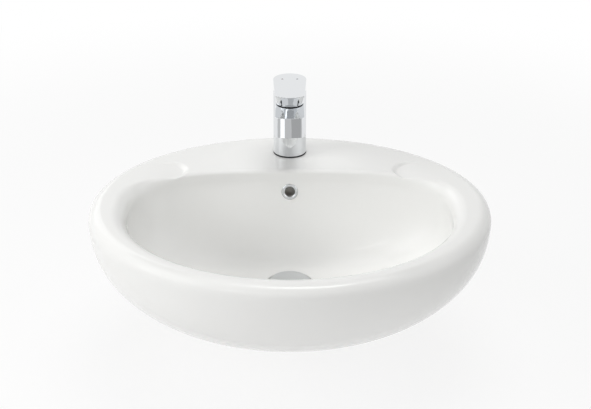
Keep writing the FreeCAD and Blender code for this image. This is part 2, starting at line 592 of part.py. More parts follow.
def make_discs():
    """The cartridge's base and seals, its two ceramic discs, and the carrier that slides the upper one."""
    base_z = POCKET_FLOOR_Z + 1
    seals = [tube(SUPPLY_RADIUS + 1.6, SUPPLY_RADIUS + 0.1, POCKET_FLOOR_Z, base_z, side * INLET_X,
                  TAP_Y + INLET_OFFSET) for side in (-1, 1)]
    save(Part.Compound(seals), "cartridge_seals")
    save(ported_disc(HOUSING_RADIUS, base_z, BASE_TOP_Z), "cartridge_base")
    save(ported_disc(HOUSING_BORE - 0.5, BASE_TOP_Z, DISC_TOP_Z), "fixed_disc")
    moving = cylinder(10.8, DISC_TOP_Z + RUN, MOVING_TOP_Z, 0, TAP_Y)
    mixing_hollow = box((-7, 7), (TAP_Y - 5, TAP_Y + 7), (DISC_TOP_Z, DISC_TOP_Z + 2))
    save(moving.cut(mixing_hollow), "moving_disc")
    socket = BALL_RADIUS + 0.2
    carrier = cylinder(10.6, MOVING_TOP_Z, CARRIER_TOP_Z, 0, TAP_Y)
    save(carrier.cut(box((-socket, socket), (TAP_Y - socket, TAP_Y + socket), (MOVING_TOP_Z + FIT, FAR))),
         "disc_carrier")


def make_housing():
    bore = CARRIAGE_RADIUS + RUN
    step_z = CARRIAGE_BOTTOM_Z + 1.4
    housing = turned([(HOUSING_BORE, BASE_TOP_Z), (HOUSING_RADIUS, BASE_TOP_Z),
                      (HOUSING_RADIUS, POCKET_MOUTH_Z), (bore, POCKET_MOUTH_Z), (bore, step_z),
                      (HOUSING_BORE, step_z)], 0, TAP_Y)
    return housing.cut(Part.makeCylinder(5.0, 20, V(0, TAP_Y - 20, DISC_TOP_Z + 3), V(0, 1, 0)))


def make_stem(pin_hole):
    """A square bar above the lift axis, and below it a finger whose ball pushes the disc carrier."""
    half = STEM_BAR / 2
    bar = box((-half, half), (TAP_Y - half, TAP_Y + half), (PIVOT_Z, STEM_TOP_Z))
    eye = Part.makeCylinder(5.0, STEM_BAR, V(-half, TAP_Y, PIVOT_Z), SIDEWAYS)
    finger = cylinder(2.2, BALL_Z, PIVOT_Z, 0, TAP_Y)
    ball = Part.makeSphere(BALL_RADIUS, V(0, TAP_Y, BALL_Z))
    return union([bar, eye, finger, ball]).cut(pin_hole)


def make_cartridge():
    make_discs()
    save(make_housing(), "cartridge_housing")
    carriage = cylinder(CARRIAGE_RADIUS, CARRIAGE_BOTTOM_Z, CARRIAGE_TOP_Z, 0, TAP_Y)
    flange = cylinder(HOUSING_BORE - 0.2, CARRIAGE_BOTTOM_Z, CARRIAGE_BOTTOM_Z + 1.2, 0, TAP_Y)
    carriage = carriage.fuse(flange)
    slot = box((-4.2, 4.2), (TAP_Y - 8, TAP_Y + 8.8), (0, FAR))
    pin_hole = Part.makeCylinder(PIN_RADIUS + RUN, 40, V(-20, TAP_Y, PIVOT_Z), SIDEWAYS)
    save(carriage.cut(slot).cut(pin_hole).removeSplitter(), "lever_carriage")
    pin_reach = CARRIAGE_RADIUS - 1
    save(Part.makeCylinder(PIN_RADIUS, 2 * pin_reach, V(-pin_reach, TAP_Y, PIVOT_Z), SIDEWAYS), "pivot_pin")
    save(make_stem(pin_hole), "lever_stem")
    nut_top_z = POCKET_MOUTH_Z + 6
    save(tube(POCKET_MOUTH_RADIUS - 0.2, 13.4, POCKET_MOUTH_Z, nut_top_z, 0, TAP_Y), "cartridge_nut")
    dome = Part.makeSphere(DOME_RADIUS, tap_pivot()).cut(Part.makeSphere(DOME_RADIUS - 1.4, tap_pivot()))
    save(dome.common(tube(30, 13.6, nut_top_z, FAR, 0, TAP_Y)), "cap_dome")


# ---- Lever ---------------------------------------------------------------------------------------
def lever_outline(height, inset):
    """Round behind, straight sides, gently round tip; height runs from 0 underneath to 1 on top."""
    back_radius, tip_half_width, shoulder_y, tip_y = [
        low + height * (high - low) for low, high in zip(LEVER_UNDERSIDE, LEVER_TOPSIDE)]
    z = LEVER_BOTTOM_Z + height * (LEVER_TOP_Z - LEVER_BOTTOM_Z)
    back_radius -= inset
    tip_half_width -= inset
    corners = [V(back_radius, TAP_Y, z), V(-back_radius, TAP_Y, z),
               V(-tip_half_width, shoulder_y + inset, z), V(tip_half_width, shoulder_y + inset, z)]
    back = Part.Arc(corners[0], V(0, TAP_Y + back_radius, z), corners[1]).toShape()
    tip = Part.Arc(corners[2], V(0, tip_y + inset, z), corners[3]).toShape()
    return Part.Wire([back, Part.LineSegment(corners[1], corners[2]).toShape(), tip,
                      Part.LineSegment(corners[3], corners[0]).toShape()])


def make_lever_plate():
    """The flat lever, its long edges rounded, and its heel sloping up so that it can lift."""
    thickness = LEVER_TOP_Z - LEVER_BOTTOM_Z
    rounding = []
    for degrees in (0, 45, 90):
        angle = math.radians(degrees)
        rounding.append((LEVER_EDGE * (1 - math.cos(angle)) / thickness, LEVER_EDGE * (1 - math.sin(angle))))
    outlines = [lever_outline(height, inset) for height, inset in rounding]
    outlines += [lever_outline(1 - height, inset) for height, inset in reversed(rounding)]
    plate = Part.makeLoft(outlines, True, True)
    heel_y = TAP_Y - LEVER_HEEL
    far_y = TAP_Y + 2 * LEVER_TOPSIDE[0]
    rise = (far_y - heel_y) * math.tan(math.radians(LEVER_HEEL_SLOPE))
    low_z = LEVER_BOTTOM_Z - 1
    below = slab_along_x([(heel_y, LEVER_BOTTOM_Z), (far_y, LEVER_BOTTOM_Z + rise), (far_y, low_z),
                          (heel_y, low_z)], FAR)
    return plate.cut(below)


def make_lever():
    """The plate with a round skirt under it, a square socket for the stem, a screw hole and two dot holes."""
    skirt = Part.makeSphere(SKIRT_RADIUS, tap_pivot()).cut(Part.makeSphere(DOME_RADIUS + 0.4, tap_pivot()))
    skirt = skirt.common(cylinder(SKIRT_CUT_RADIUS, PIVOT_Z, PIVOT_Z + SKIRT_RADIUS + 1, 0, TAP_Y))
    half = STEM_BAR / 2 + 0.1
    socket = box((-half, half), (TAP_Y - half, TAP_Y + half), (PIVOT_Z, STEM_TOP_Z + 0.3))
    lever = make_lever_plate().fuse(skirt).cut(socket)
    lever = lever.cut(Part.makeCylinder(SCREW_RADIUS + RUN, FAR, V(0, TAP_Y + half, SCREW_Z), V(0, 1, 0)))
    for side in (-1, 1):
        lever = lever.cut(cylinder(DOT_RADIUS + RUN, LEVER_TOP_Z - DOT_DEPTH, FAR, side * DOT_X, DOT_Y))
    return lever.Solids[0]


def make_lever_trim():
    screw_y = TAP_Y + STEM_BAR / 2 + 0.1
    save(Part.makeCylinder(SCREW_RADIUS, SCREW_LENGTH, V(0, screw_y, SCREW_Z), V(0, 1, 0)), "handle_screw")
    for side, name in ((-1, "hot_dot"), (1, "cold_dot")):
        save(cylinder(DOT_RADIUS, LEVER_TOP_Z - DOT_DEPTH, LEVER_TOP_Z, side * DOT_X, DOT_Y), name)


save(make_basin(), "basin_body")
save(make_overflow_ring(), "overflow_ring")
save(make_waste_body(), "waste_body")
make_waste_seals()
save(make_plug_guide(), "plug_guide")
make_plug()
save(make_tap_body(), "tap_body")
make_tap_fixing()
make_aerator()
make_cartridge()
save(make_lever(), "handle")
make_lever_trim()
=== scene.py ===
"""Dresses a semi recessed ceramic basin, its single lever mixer tap, overflow ring and push waste.

Every piece is in metres, in the part's own frame: the origin is the middle of the bearing lip at the back,
X runs to the right, Y back to the wall and Z up. The glazed clay is drawn from the same rules as the
part's solid; the fittings are finished copies of their solids, and springs and threads follow a helix.
"""
import json
import math
from collections import namedtuple

import bmesh
import bpy
from bpy.props import FloatProperty, FloatVectorProperty, IntProperty, PointerProperty
from mathutils import Matrix, Vector


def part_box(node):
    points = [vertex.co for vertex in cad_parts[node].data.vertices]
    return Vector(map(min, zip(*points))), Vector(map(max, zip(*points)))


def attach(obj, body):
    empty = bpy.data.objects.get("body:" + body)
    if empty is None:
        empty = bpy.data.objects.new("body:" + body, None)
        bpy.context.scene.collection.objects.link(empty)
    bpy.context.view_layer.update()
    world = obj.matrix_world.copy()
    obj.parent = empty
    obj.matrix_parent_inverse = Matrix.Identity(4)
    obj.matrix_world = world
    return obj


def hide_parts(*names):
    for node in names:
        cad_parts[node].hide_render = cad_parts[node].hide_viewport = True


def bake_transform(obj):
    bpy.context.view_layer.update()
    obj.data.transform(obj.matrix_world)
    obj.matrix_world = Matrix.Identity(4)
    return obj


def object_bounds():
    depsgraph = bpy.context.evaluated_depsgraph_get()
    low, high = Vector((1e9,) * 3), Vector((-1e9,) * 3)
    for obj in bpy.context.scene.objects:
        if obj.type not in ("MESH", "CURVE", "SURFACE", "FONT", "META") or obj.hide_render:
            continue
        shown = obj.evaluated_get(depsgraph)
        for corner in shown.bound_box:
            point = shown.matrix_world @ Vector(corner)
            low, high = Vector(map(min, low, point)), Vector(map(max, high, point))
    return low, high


bl_info = {
    "name": "Semi recessed basin",
    "version": (1, 0, 0),
    "blender": (4, 5, 0),
    "location": "3D View > Sidebar > Basin",
    "description": "A glazed basin with its mixer tap, overflow ring and push waste",
    "category": "Mesh",
}

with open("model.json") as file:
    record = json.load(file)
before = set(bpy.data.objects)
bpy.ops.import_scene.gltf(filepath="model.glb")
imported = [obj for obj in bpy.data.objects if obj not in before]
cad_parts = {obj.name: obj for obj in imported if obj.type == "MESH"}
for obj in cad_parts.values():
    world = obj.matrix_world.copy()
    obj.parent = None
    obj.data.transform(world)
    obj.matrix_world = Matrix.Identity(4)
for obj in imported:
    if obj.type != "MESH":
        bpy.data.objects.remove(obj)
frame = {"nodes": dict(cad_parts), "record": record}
CAD_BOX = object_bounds()
MM = 0.001
FAR = 0.4                     # beyond every piece

Ring = namedtuple("Ring", "half_width front back middle z power")


def middle_of(node):
    """The middle of a CAD node's box."""
    low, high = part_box(node)
    return (low + high) / 2


WASTE_Y = middle_of("waste_body").y
TAP_Y = middle_of("base_gasket").y


# ---- Sizes and colours ---------------------------------------------------------------------------
def length(name, description, default):
    return FloatProperty(name=name, description=description, default=default, unit="LENGTH",
                         subtype="DISTANCE")


def turn(name, description, degrees):
    return FloatProperty(name=name, description=description, default=math.radians(degrees), subtype="ANGLE")


def share(name, description, default):
    return FloatProperty(name=name, description=description, default=default)


def steps(name, description, default):
    return IntProperty(name=name, description=description, default=default, min=8)


class BasinSizes(bpy.types.PropertyGroup):
    """Sizes of the glazed clay."""
    half_width: length("Half width", "Middle to the widest side", 0.280)
    front_reach: length("Front reach", "Widest outline's middle to its front", 0.247)
    back_reach: length("Back reach", "Widest outline's middle to its back", 0.235)
    widest_y: length("Outline's middle", "Y of the middle of the widest outline", -0.229)
    crest_z: length("Crest", "Top of the rim above the lip", 0.040)
    roll: length("Roll", "Outer rounding of the rim", 0.018)
    belly_depth: length("Belly depth", "Widest outline down to the lowest point", 0.166)
    belly_power: share("Belly power", "Superellipse power of the outside's side view", 2.24)
    belly_lean: length("Belly lean", "How far the lowest outline moves back", 0.0167)
    underside_z: length("Underside", "Flat underside round the waste hole", -0.142)
    wall: length("Wall", "Thickness of the fired clay", 0.012)
    shoulder_y: length("Shoulders", "Plane of the front shoulders", -0.241)
    bowl_half_width: length("Bowl half width", "Below the rounded edge", 0.226)
    bowl_front: length("Bowl front", "Y of the bowl's front", -0.436)
    bowl_back: length("Bowl back", "Y of the bowl's back", -0.1325)
    back_draft: share("Back draft", "How much of its reach the bowl's back loses over the full depth", 0.35)
    bowl_widest: length("Bowl's widest", "Y where the bowl is widest", -0.246)
    bowl_floor: length("Bowl floor", "Height of the bowl's floor", -0.100)
    floor_radius: length("Floor radius", "Flat floor round the waste", 0.038)
    bowl_power: share("Bowl power", "Superellipse power of the bowl's side view", 2.4)
    corner_power: share("Corner power", "Superellipse power of the bowl's back corners", 3.0)
    edge: length("Bowl edge", "Rounding at the bowl's front and sides", 0.020)
    deck_edge: length("Deck edge", "Rounding along the tap deck", 0.0055)
    recess_radius: length("Recess radius", "Seat of the waste flange", 0.0335)
    recess_depth: length("Recess depth", "Seat of the waste flange below the floor", 0.0035)
    waste_hole: length("Waste hole", "Radius of the waste hole", 0.023)
    boss: length("Waste boss", "Radius of the boss round the waste hole", 0.037)
    tap_hole: length("Tap hole", "Radius of the tap hole", 0.0175)
    overflow_hole: length("Overflow hole", "Radius of the overflow hole", 0.0116)
    overflow_tilt: turn("Overflow tilt", "How far the bowl's back wall leans at the overflow", 10.0)
    overflow_y: length("Overflow, depth", "Middle of the overflow hole in the bowl's wall", -0.1348)
    overflow_z: length("Overflow, height", "Middle of the overflow hole in the bowl's wall", 0.006)
    seat_radius: length("Ring seat", "Radius of the flat that the overflow ring sits on", 0.0125)
    seat_depth: length("Ring seat depth", "Depth of that flat in the wall", 0.0008)
    duct_half_width: length("Duct half width", "Overflow duct inside the clay", 0.016)
    rib_half_width: length("Rib half width", "Clay round the overflow duct", 0.024)
    pad_height: length("Pad height", "The shoulders' bearing pads stand this far behind the web", 0.0015)
    pad_clearance: length("Pad clearance", "From the pads to the bowl's wall", 0.008)
    pad_inner: length("Pad inner edge", "Sideways, below the lip", 0.080)
    vent_x: length("Vent, sideways", "Casting vents into the hollow front", 0.060)
    vent_z: length("Vent, height", "Casting vents into the hollow front", -0.120)
    vent_radius: length("Vent radius", "Casting vents into the hollow front", 0.004)


class LedgeSizes(bpy.types.PropertyGroup):
    """Sizes of the soap ledges, given for the left one; the right one mirrors it."""
    radius: length("Radius", "Round ends and half width of a ledge", 0.032)
    end_x: length("End, sideways", "Middle of the round end beside the tap deck", -0.181)
    end_y: length("End, depth", "Middle of the round end beside the tap deck", -0.129)
    run: length("Run", "From that end to the outer round end", 0.0575)
    heading: turn("Heading", "Direction of the run in plan", 220.0)
    floor_z: length("Floor", "Height of the floor at the bowl's side", 0.031)
    tilt: turn("Tilt", "The floor rises towards the rim", 8.0)
    ramp: turn("Ramp", "The floor rises along its run, until it fades into the rim", 4.5)
    riser: length("Riser", "Width in plan of the rounded riser", 0.009)
    riser_height: length("Riser height", "The riser over the floor, one riser's width out", 0.016)
    riser_foot: share("Riser's foot", "Share of that height in the riser's rounded foot", 0.6)
    softness: length("Softness", "Rounding where the ledge meets the deck", 0.003)


class CoilSizes(bpy.types.PropertyGroup):
    """Sizes of the plug's spring and of the threads."""
    spring_radius: length("Spring radius", "Middle of the wire", 0.0054)
    spring_wire: length("Spring wire", "Radius of the wire", 0.0008)
    spring_turns: FloatProperty(name="Spring turns", description="Turns of the plug's spring", default=7.0)
    spring_ease: share("Closed ends", "How much the spring's turns close up at its ends", 0.4)
    tail_pitch: length("Tail's pitch", "G 1 1/4 pipe thread on the waste's tail", 0.002309)
    tail_length: length("Tail's thread", "Length of the thread on the waste's free end", 0.042)
    stud_pitch: length("Stud's pitch", "M8 thread on the tap's stud", 0.00125)


class GridSizes(bpy.types.PropertyGroup):
    """How finely the clay is drawn."""
    columns: steps("Columns", "Steps round the basin", 560)
    deck_rows: steps("Deck rows", "Steps across the tap deck", 34)
    bowl_rows: steps("Bowl rows", "Steps down the bowl", 36)
    belly_rows: steps("Belly rows", "Steps down the outside", 26)
    edge_rows: steps("Edge rows", "Steps over the bowl's rounded edge", 14)
    roll_rows: steps("Roll rows", "Steps over the rim's outer rounding", 12)
    hidden_columns: steps("Hidden columns", "Steps round the hidden inside", 120)
    hidden_rows: steps("Hidden rows", "Steps down the hidden inside", 24)


class StageSettings(bpy.types.PropertyGroup):
    """Camera and lamps."""
    lens: FloatProperty(name="Lens", description="Focal length, millimetres", default=65.8)
    camera_place: FloatVectorProperty(name="Camera", description="Where the camera stands", subtype="XYZ",
                                      unit="LENGTH", default=(0.0, -1.5842, 0.7045))
    camera_pitch: turn("Pitch", "How far the camera looks down", 26.4)
    camera_shift: share("Shift", "Sideways shift that the framing needs", 0.0097)
    key_power: share("Key lamp", "Watts of the high lamp on the left", 3.6)
    low_key_power: share("Low key lamp", "Watts of the lower lamp on the left", 22.3)
    front_power: share("Front lamp", "Watts of the lamp behind the camera, to the left", 8.6)
    far_front_power: share("Far front lamp", "Watts of the lower lamp behind the camera", 9.9)
    top_power: share("Top lamp", "Watts of the lamp above", 23.0)
    back_power: share("Back lamp", "Watts of the lamp behind on the left", 3.9)
    right_power: share("Right lamp", "Watts of the lamp on the right", 2.0)
    room_level: share("Room", "Strength of the pale room's own light", 0.208)
    near_white: share("Floor near the object", "How much plain white is mixed into the floor there", 0.85)
    floor_drop: length("Floor drop", "Gap under the lowest piece", 0.0005)


SETTINGS = {"basin_sizes": BasinSizes, "ledge_sizes": LedgeSizes, "coil_sizes": CoilSizes,
            "grid_sizes": GridSizes, "stage_settings": StageSettings}


# ---- Node and mesh helpers -----------------------------------------------------------------------
def srgb(code):
    """A hex colour as linear RGBA."""
    channels = [int(code[place:place + 2], 16) / 255 for place in (1, 3, 5)]
    linear = [c / 12.92 if c <= 0.04045 else ((c + 0.055) / 1.055) ** 2.4 for c in channels]
    return (*linear, 1.0)


def add_node(tree, kind, inputs=None, **settings):
    """Adds a node with its settings; an input is a value, or another node's output to link."""
    made = tree.nodes.new(kind)
    for name, value in settings.items():
        setattr(made, name, value)
    for name, value in (inputs or {}).items():
        if isinstance(value, bpy.types.NodeSocket):
            tree.links.new(value, made.inputs[name])
        else:
            made.inputs[name].default_value = value
    return made


def new_piece(name, mesh):
    piece = bpy.data.objects.new(name, mesh)
    bpy.context.scene.collection.objects.link(piece)
    return piece


def bake(piece):
    """Makes a piece's modifiers permanent."""
    graph = bpy.context.evaluated_depsgraph_get()
    graph.update()
    mesh = bpy.data.meshes.new_from_object(piece.evaluated_get(graph))
    piece.modifiers.clear()
    old = piece.data
    piece.data = mesh
    bpy.data.meshes.remove(old)
    return piece


def smooth(piece, degrees=32.0):
    """Smooth shading, with edges sharper than an angle kept crisp."""
    piece.data.shade_smooth()
    piece.data.set_sharp_from_angle(angle=math.radians(degrees))


def boolean(piece, cutters, operation):
    """Adds or cuts away the cutters, which are used up; each keeps its own material."""
    for cutter in cutters:
        change = piece.modifiers.new("change", "BOOLEAN")
        change.operation = operation
        change.solver = "EXACT"
        change.material_mode = "TRANSFER"
        change.object = cutter
    bake(piece)
    for cutter in cutters:
        bpy.data.objects.remove(cutter)
    return piece


def mesh_from(name, build, material=None):
    """A piece whose mesh a function builds in a bmesh, with its faces turned outwards."""
    drawn = bmesh.new()
    build(drawn)
    bmesh.ops.recalc_face_normals(drawn, faces=drawn.faces)
    mesh = bpy.data.meshes.new(name)
    drawn.to_mesh(mesh)
    drawn.free()
    if material:
        mesh.materials.append(material)
    return new_piece(name, mesh)


def skin_rows(drawn, rows, loop=False):
    """Faces between rows of points; each row is closed, and with loop the last joins the first."""
    rings = [[drawn.verts.new(point) for point in row] for row in rows]
    pairs = list(zip(rings, rings[1:])) + ([(rings[-1], rings[0])] if loop else [])
    count = len(rings[0])
    for upper, lower in pairs:
        for step in range(count):
            after = (step + 1) % count
            drawn.faces.new((upper[step], upper[after], lower[after], lower[step]))
    if not loop:
        drawn.faces.new(rings[0])
        drawn.faces.new(rings[-1])


def prism(name, profile, half_width, material):
    """A solid from (y, z) corners, as wide as twice half_width."""
    def build(drawn):
        skin_rows(drawn, [[(side * half_width, y, z) for y, z in profile] for side in (-1, 1)])
    return mesh_from(name, build, material)


def rod(name, radius, low, high, material, sides=72):
    """A round solid between two points."""
    axis = high - low
    turned = axis.to_track_quat("Z", "Y").to_matrix().to_4x4()

    def build(drawn):
        bmesh.ops.create_cone(drawn, cap_ends=True, segments=sides, radius1=radius, radius2=radius,
                              depth=axis.length, matrix=Matrix.Translation((low + high) / 2) @ turned)
    return mesh_from(name, build, material)


def finish_piece(piece, body, slot, *nodes):
    """Hangs a piece on the empty of the body that it rides on, and hides the CAD nodes that it stands for;
    slot is not used.
    """
    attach(piece, body)
    if nodes:
        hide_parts(*nodes)


# ---- Materials -----------------------------------------------------------------------------------
def new_material(name, colour, metallic=0.0, roughness=0.5, **shader_inputs):
    """A material with one Principled shader; returns the material, its tree, shader and coordinates."""
    material = bpy.data.materials.new(name)
    material.use_nodes = True
    tree = material.node_tree
    tree.nodes.clear()
    inputs = {"Base Color": srgb(colour), "Metallic": metallic, "Roughness": roughness}
    inputs.update(shader_inputs)
    shader = add_node(tree, "ShaderNodeBsdfPrincipled", inputs)
    add_node(tree, "ShaderNodeOutputMaterial", {"Surface": shader.outputs["BSDF"]})
    places = add_node(tree, "ShaderNodeTexCoord").outputs["Object"]
    return material, tree, shader, places


def mottle(tree, places, grain, low, high, detail=3.0):
    """Cloudy noise of a grain in metres, spread between two linear colours or levels."""
    noise = add_node(tree, "ShaderNodeTexNoise", {"Vector": places, "Scale": 1.0 / grain, "Detail": detail})
    spread = add_node(tree, "ShaderNodeMapRange", {"Value": noise.outputs["Fac"], "From Min": 0.3,
                                                   "From Max": 0.7, "To Min": low, "To Max": high})
    return spread.outputs["Result"]


def tint(tree, shader, level, first, second):
    """Mixes two colours by a level from 0 to 1 into the shader's base colour."""
    mix = add_node(tree, "ShaderNodeMix", {"Factor": level, "A": srgb(first), "B": srgb(second)},
                   data_type="RGBA")
    tree.links.new(mix.outputs["Result"], shader.inputs["Base Color"])


def bump(tree, shader, height, distance, strength=1.0):
    made = add_node(tree, "ShaderNodeBump", {"Height": height, "Distance": distance, "Strength": strength})
    tree.links.new(made.outputs["Normal"], shader.inputs["Normal"])


def glazed_china():
    """Vitreous china under a sprayed, fired gloss glaze: white, with a faint slow waviness in its gloss."""
    material, tree, shader, places = new_material("glazed_china", "#f4f4f2", roughness=0.05, IOR=1.52)
    wave = add_node(tree, "ShaderNodeTexNoise", {"Vector": places, "Scale": 1.0 / 0.035, "Detail": 1.0})
    bump(tree, shader, wave.outputs["Fac"], 0.00025)
    return material


def bare_clay():
    """Fired clay without glaze, as on the bearing lip and the underside: matt, warmer, with fine pores."""
    material, tree, shader, places = new_material("bare_clay", "#e6e2da", roughness=0.72)
    bump(tree, shader, mottle(tree, places, 0.0016, 0.0, 1.0), 0.00012)
    return material


def chrome_plate():
    """Polished brass under bright nickel and chrome: a mirror with a trace of haze from polishing."""
    material, tree, shader, places = new_material("chrome_plate", "#e0e2e4", metallic=1.0)
    tree.links.new(mottle(tree, places, 0.006, 0.02, 0.045), shader.inputs["Roughness"])
    return material


def machined_brass():
    """Free cutting brass, turned: warm, with fine rings that the tool left."""
    material, tree, shader, places = new_material("machined_brass", "#c9a65c", metallic=1.0, roughness=0.3)
    rings = add_node(tree, "ShaderNodeTexWave", {"Vector": places, "Scale": 1.0 / 0.0016, "Distortion": 0.4},
                     wave_type="BANDS", bands_direction="Z")
    bump(tree, shader, rings.outputs["Fac"], 0.00003)
    return material


def stainless_steel():
    """Stamped and turned stainless steel: grey, satin, with uneven drawing marks."""
    material, tree, shader, places = new_material("stainless_steel", "#b4b6b8", metallic=1.0)
    tree.links.new(mottle(tree, places, 0.002, 0.25, 0.4), shader.inputs["Roughness"])
    return material


def black_rubber():
    """Moulded EPDM: matt black with a grey bloom."""
    material, tree, shader, places = new_material("black_rubber", "#1b1b1c", roughness=0.65)
    tint(tree, shader, mottle(tree, places, 0.004, 0.0, 1.0), "#161617", "#262628")
    return material


def white_rubber():
    """Soft silicone washer: milky and slightly glossy."""
    material, tree, shader, places = new_material("white_rubber", "#dcdbd6", roughness=0.42)
    bump(tree, shader, mottle(tree, places, 0.003, 0.0, 1.0), 0.00005)
    return material


def white_plastic():
    """Moulded acetal: natural white, smooth, with a faint flow mottle."""
    material, tree, shader, places = new_material("white_plastic", "#e9e8e3", roughness=0.35)
    tint(tree, shader, mottle(tree, places, 0.008, 0.0, 1.0), "#e4e3dd", "#edece8")
    return material


def grey_plastic():
    """Glass filled nylon: mid grey and matt, speckled by its fibres."""
    material, tree, shader, places = new_material("grey_plastic", "#74767a", roughness=0.55)
    tint(tree, shader, mottle(tree, places, 0.0012, 0.0, 1.0, 5.0), "#6a6c70", "#808286")
    return material


def lapped_alumina():
    """Sintered alumina, lapped flat: creamy, dense and semi gloss."""
    material, tree, shader, places = new_material("lapped_alumina", "#e3dfd3", roughness=0.22)
    bump(tree, shader, mottle(tree, places, 0.0008, 0.0, 1.0), 0.00001)
    return material


def acrylic_dot(name, colour):
    """Pressed in acrylic: clear gloss over a solid colour."""
    material, tree, shader, places = new_material(name, colour, roughness=0.15, IOR=1.49)
    tint(tree, shader, mottle(tree, places, 0.002, 0.0, 0.3), colour, "#101010")
    return material


MATERIALS = {
    "vitreous_china": glazed_china, "chrome_plate": chrome_plate, "brass": machined_brass,
    "steel": stainless_steel, "black_rubber": black_rubber, "white_rubber": white_rubber,
    "white_plastic": white_plastic, "grey_plastic": grey_plastic, "alumina": lapped_alumina,
    "hot_index": lambda: acrylic_dot("hot_index", "#5a0f0c"),
    "cold_index": lambda: acrylic_dot("cold_index", "#0c2350"),
}
made_materials = {}


def material_for(slot):
    """The material of a slot in the record, made once."""
    if slot not in made_materials:
        made_materials[slot] = MATERIALS[slot]()
    return made_materials[slot]


# ---- Glazed clay ---------------------------------------------------------------------------------
def round_ring(radius, z, middle):
    return Ring(radius, radius, radius, middle, z, 2.0)


def ring_points(ring, count):
    """Points of a closed outline about its middle: an ellipse in front, a superellipse behind."""
    points = []
    for step in range(count):
        angle = 2 * math.pi * step / count
        along = math.cos(angle)
        across = math.sin(angle)
        power = ring.power if across > 0 else 2.0
        depth = ring.back if across > 0 else ring.front
        reach = (abs(along / ring.half_width) ** power + abs(across / depth) ** power) ** (-1 / power)
        points.append(Vector((reach * along, ring.middle + reach * across, ring.z)))
    return points


def quarter(power, part):
    """A point on a superellipse's quarter: (how wide, how deep), each from 0 to 1."""
    angle = part * math.pi / 2
    return max(0.0, math.cos(angle)) ** (2 / power), math.sin(angle) ** (2 / power)


def bowl_ring(sizes, part, growth=0.0):
    """One outline of the bowl below its rounded edge; part runs from 0 at the top to 1 at the floor."""
    wide, deep = quarter(sizes.bowl_power, part)
    top_z = sizes.crest_z - sizes.edge
    middle = sizes.bowl_widest + (WASTE_Y - sizes.bowl_widest) * deep ** 2
    front_y = WASTE_Y - sizes.floor_radius - (WASTE_Y - sizes.floor_radius - sizes.bowl_front) * wide
    draft = 1 - sizes.back_draft * deep
    back_y = WASTE_Y + sizes.floor_radius + (sizes.bowl_back - WASTE_Y - sizes.floor_radius) * wide * draft
    half_width = sizes.floor_radius + (sizes.bowl_half_width - sizes.floor_radius) * wide
    return Ring(half_width + growth, middle - front_y + growth, back_y - middle + growth, middle,
                top_z - (top_z + growth - sizes.bowl_floor) * deep, 2.0 + (sizes.corner_power - 2.0) * wide)


def edge_ring(sizes, part):
    """One outline of the bowl's rounded edge; part runs from 0 at its foot to 1 at the crest."""
    height = sizes.edge * math.sin(part * math.pi / 2)
    flare = sizes.edge * (1 - math.cos(part * math.pi / 2))
    deck_height = max(0.0, height - (sizes.edge - sizes.deck_edge))
    deck_flare = sizes.deck_edge - math.sqrt(max(0.0, sizes.deck_edge ** 2 - deck_height ** 2))
    return Ring(sizes.bowl_half_width + flare, sizes.bowl_widest - sizes.bowl_front + flare,
                sizes.bowl_back - sizes.bowl_widest + deck_flare, sizes.bowl_widest,
                sizes.crest_z - sizes.edge + height, sizes.corner_power)


def roll_ring(sizes, part):
    """One outline of the rim's outer rounding; part runs from 0 at the crest to 1 at the widest."""
    less = sizes.roll * (1 - math.sin(part * math.pi / 2))
    height = sizes.crest_z - sizes.roll * (1 - math.cos(part * math.pi / 2))
    return Ring(sizes.half_width - less, sizes.front_reach - less, sizes.back_reach - less, sizes.widest_y,
                height, 2.0)


def belly_ring(sizes, part, inset=0.0):
    """One outline of the outside below its widest; part runs from 0 there to 1 at the lowest point."""
    wide, deep = quarter(sizes.belly_power, part)
    return Ring((sizes.half_width - inset) * wide, (sizes.front_reach - inset) * wide,
                (sizes.back_reach - inset) * wide, sizes.widest_y + sizes.belly_lean * deep ** 1.5,
                sizes.crest_z - sizes.roll - (sizes.belly_depth - inset) * deep, 2.0)


def waste_rings(sizes):
    """The waste hole's wall and the flange's seat, with glaze rounded edges."""
    seat = sizes.bowl_floor - sizes.recess_depth
    soft = 1.2 * MM
    return [round_ring(sizes.waste_hole, sizes.underside_z, WASTE_Y),
            round_ring(sizes.waste_hole, seat - soft, WASTE_Y),
            round_ring(sizes.waste_hole + 0.3 * soft, seat - 0.3 * soft, WASTE_Y),
            round_ring(sizes.waste_hole + soft, seat, WASTE_Y),
            round_ring(sizes.recess_radius - 0.5 * soft, seat, WASTE_Y),
            round_ring(sizes.recess_radius, seat + 0.5 * soft, WASTE_Y),
            round_ring(sizes.recess_radius, sizes.bowl_floor - soft, WASTE_Y),
            round_ring(sizes.recess_radius + 0.3 * soft, sizes.bowl_floor - 0.3 * soft, WASTE_Y),
            round_ring(sizes.recess_radius + soft, sizes.bowl_floor, WASTE_Y)]


def soft_step(value):
    value = min(1.0, max(0.0, value))
    return value * value * (3 - 2 * value)


def ledge_height(ledge, point):
    """Height of the left ledge's tray over a point: its tilted floor, and round it a riser."""
    along = Vector((math.cos(ledge.heading), math.sin(ledge.heading)))
    across = Vector((-along.y, along.x))
    from_end = Vector((-abs(point.x) - ledge.end_x, point.y - ledge.end_y))
    run = min(ledge.run, max(0.0, from_end.dot(along)))
    outward = (from_end - along * run).length - ledge.radius
    floor = ledge.floor_z + (ledge.radius - from_end.dot(across)) * math.tan(ledge.tilt)
    floor += (ledge.radius + from_end.dot(along)) * math.tan(ledge.ramp)
    foot = soft_step((outward + ledge.riser) / ledge.riser) * ledge.riser_foot
    return floor + ledge.riser_height * (foot + max(0.0, outward) / ledge.riser)


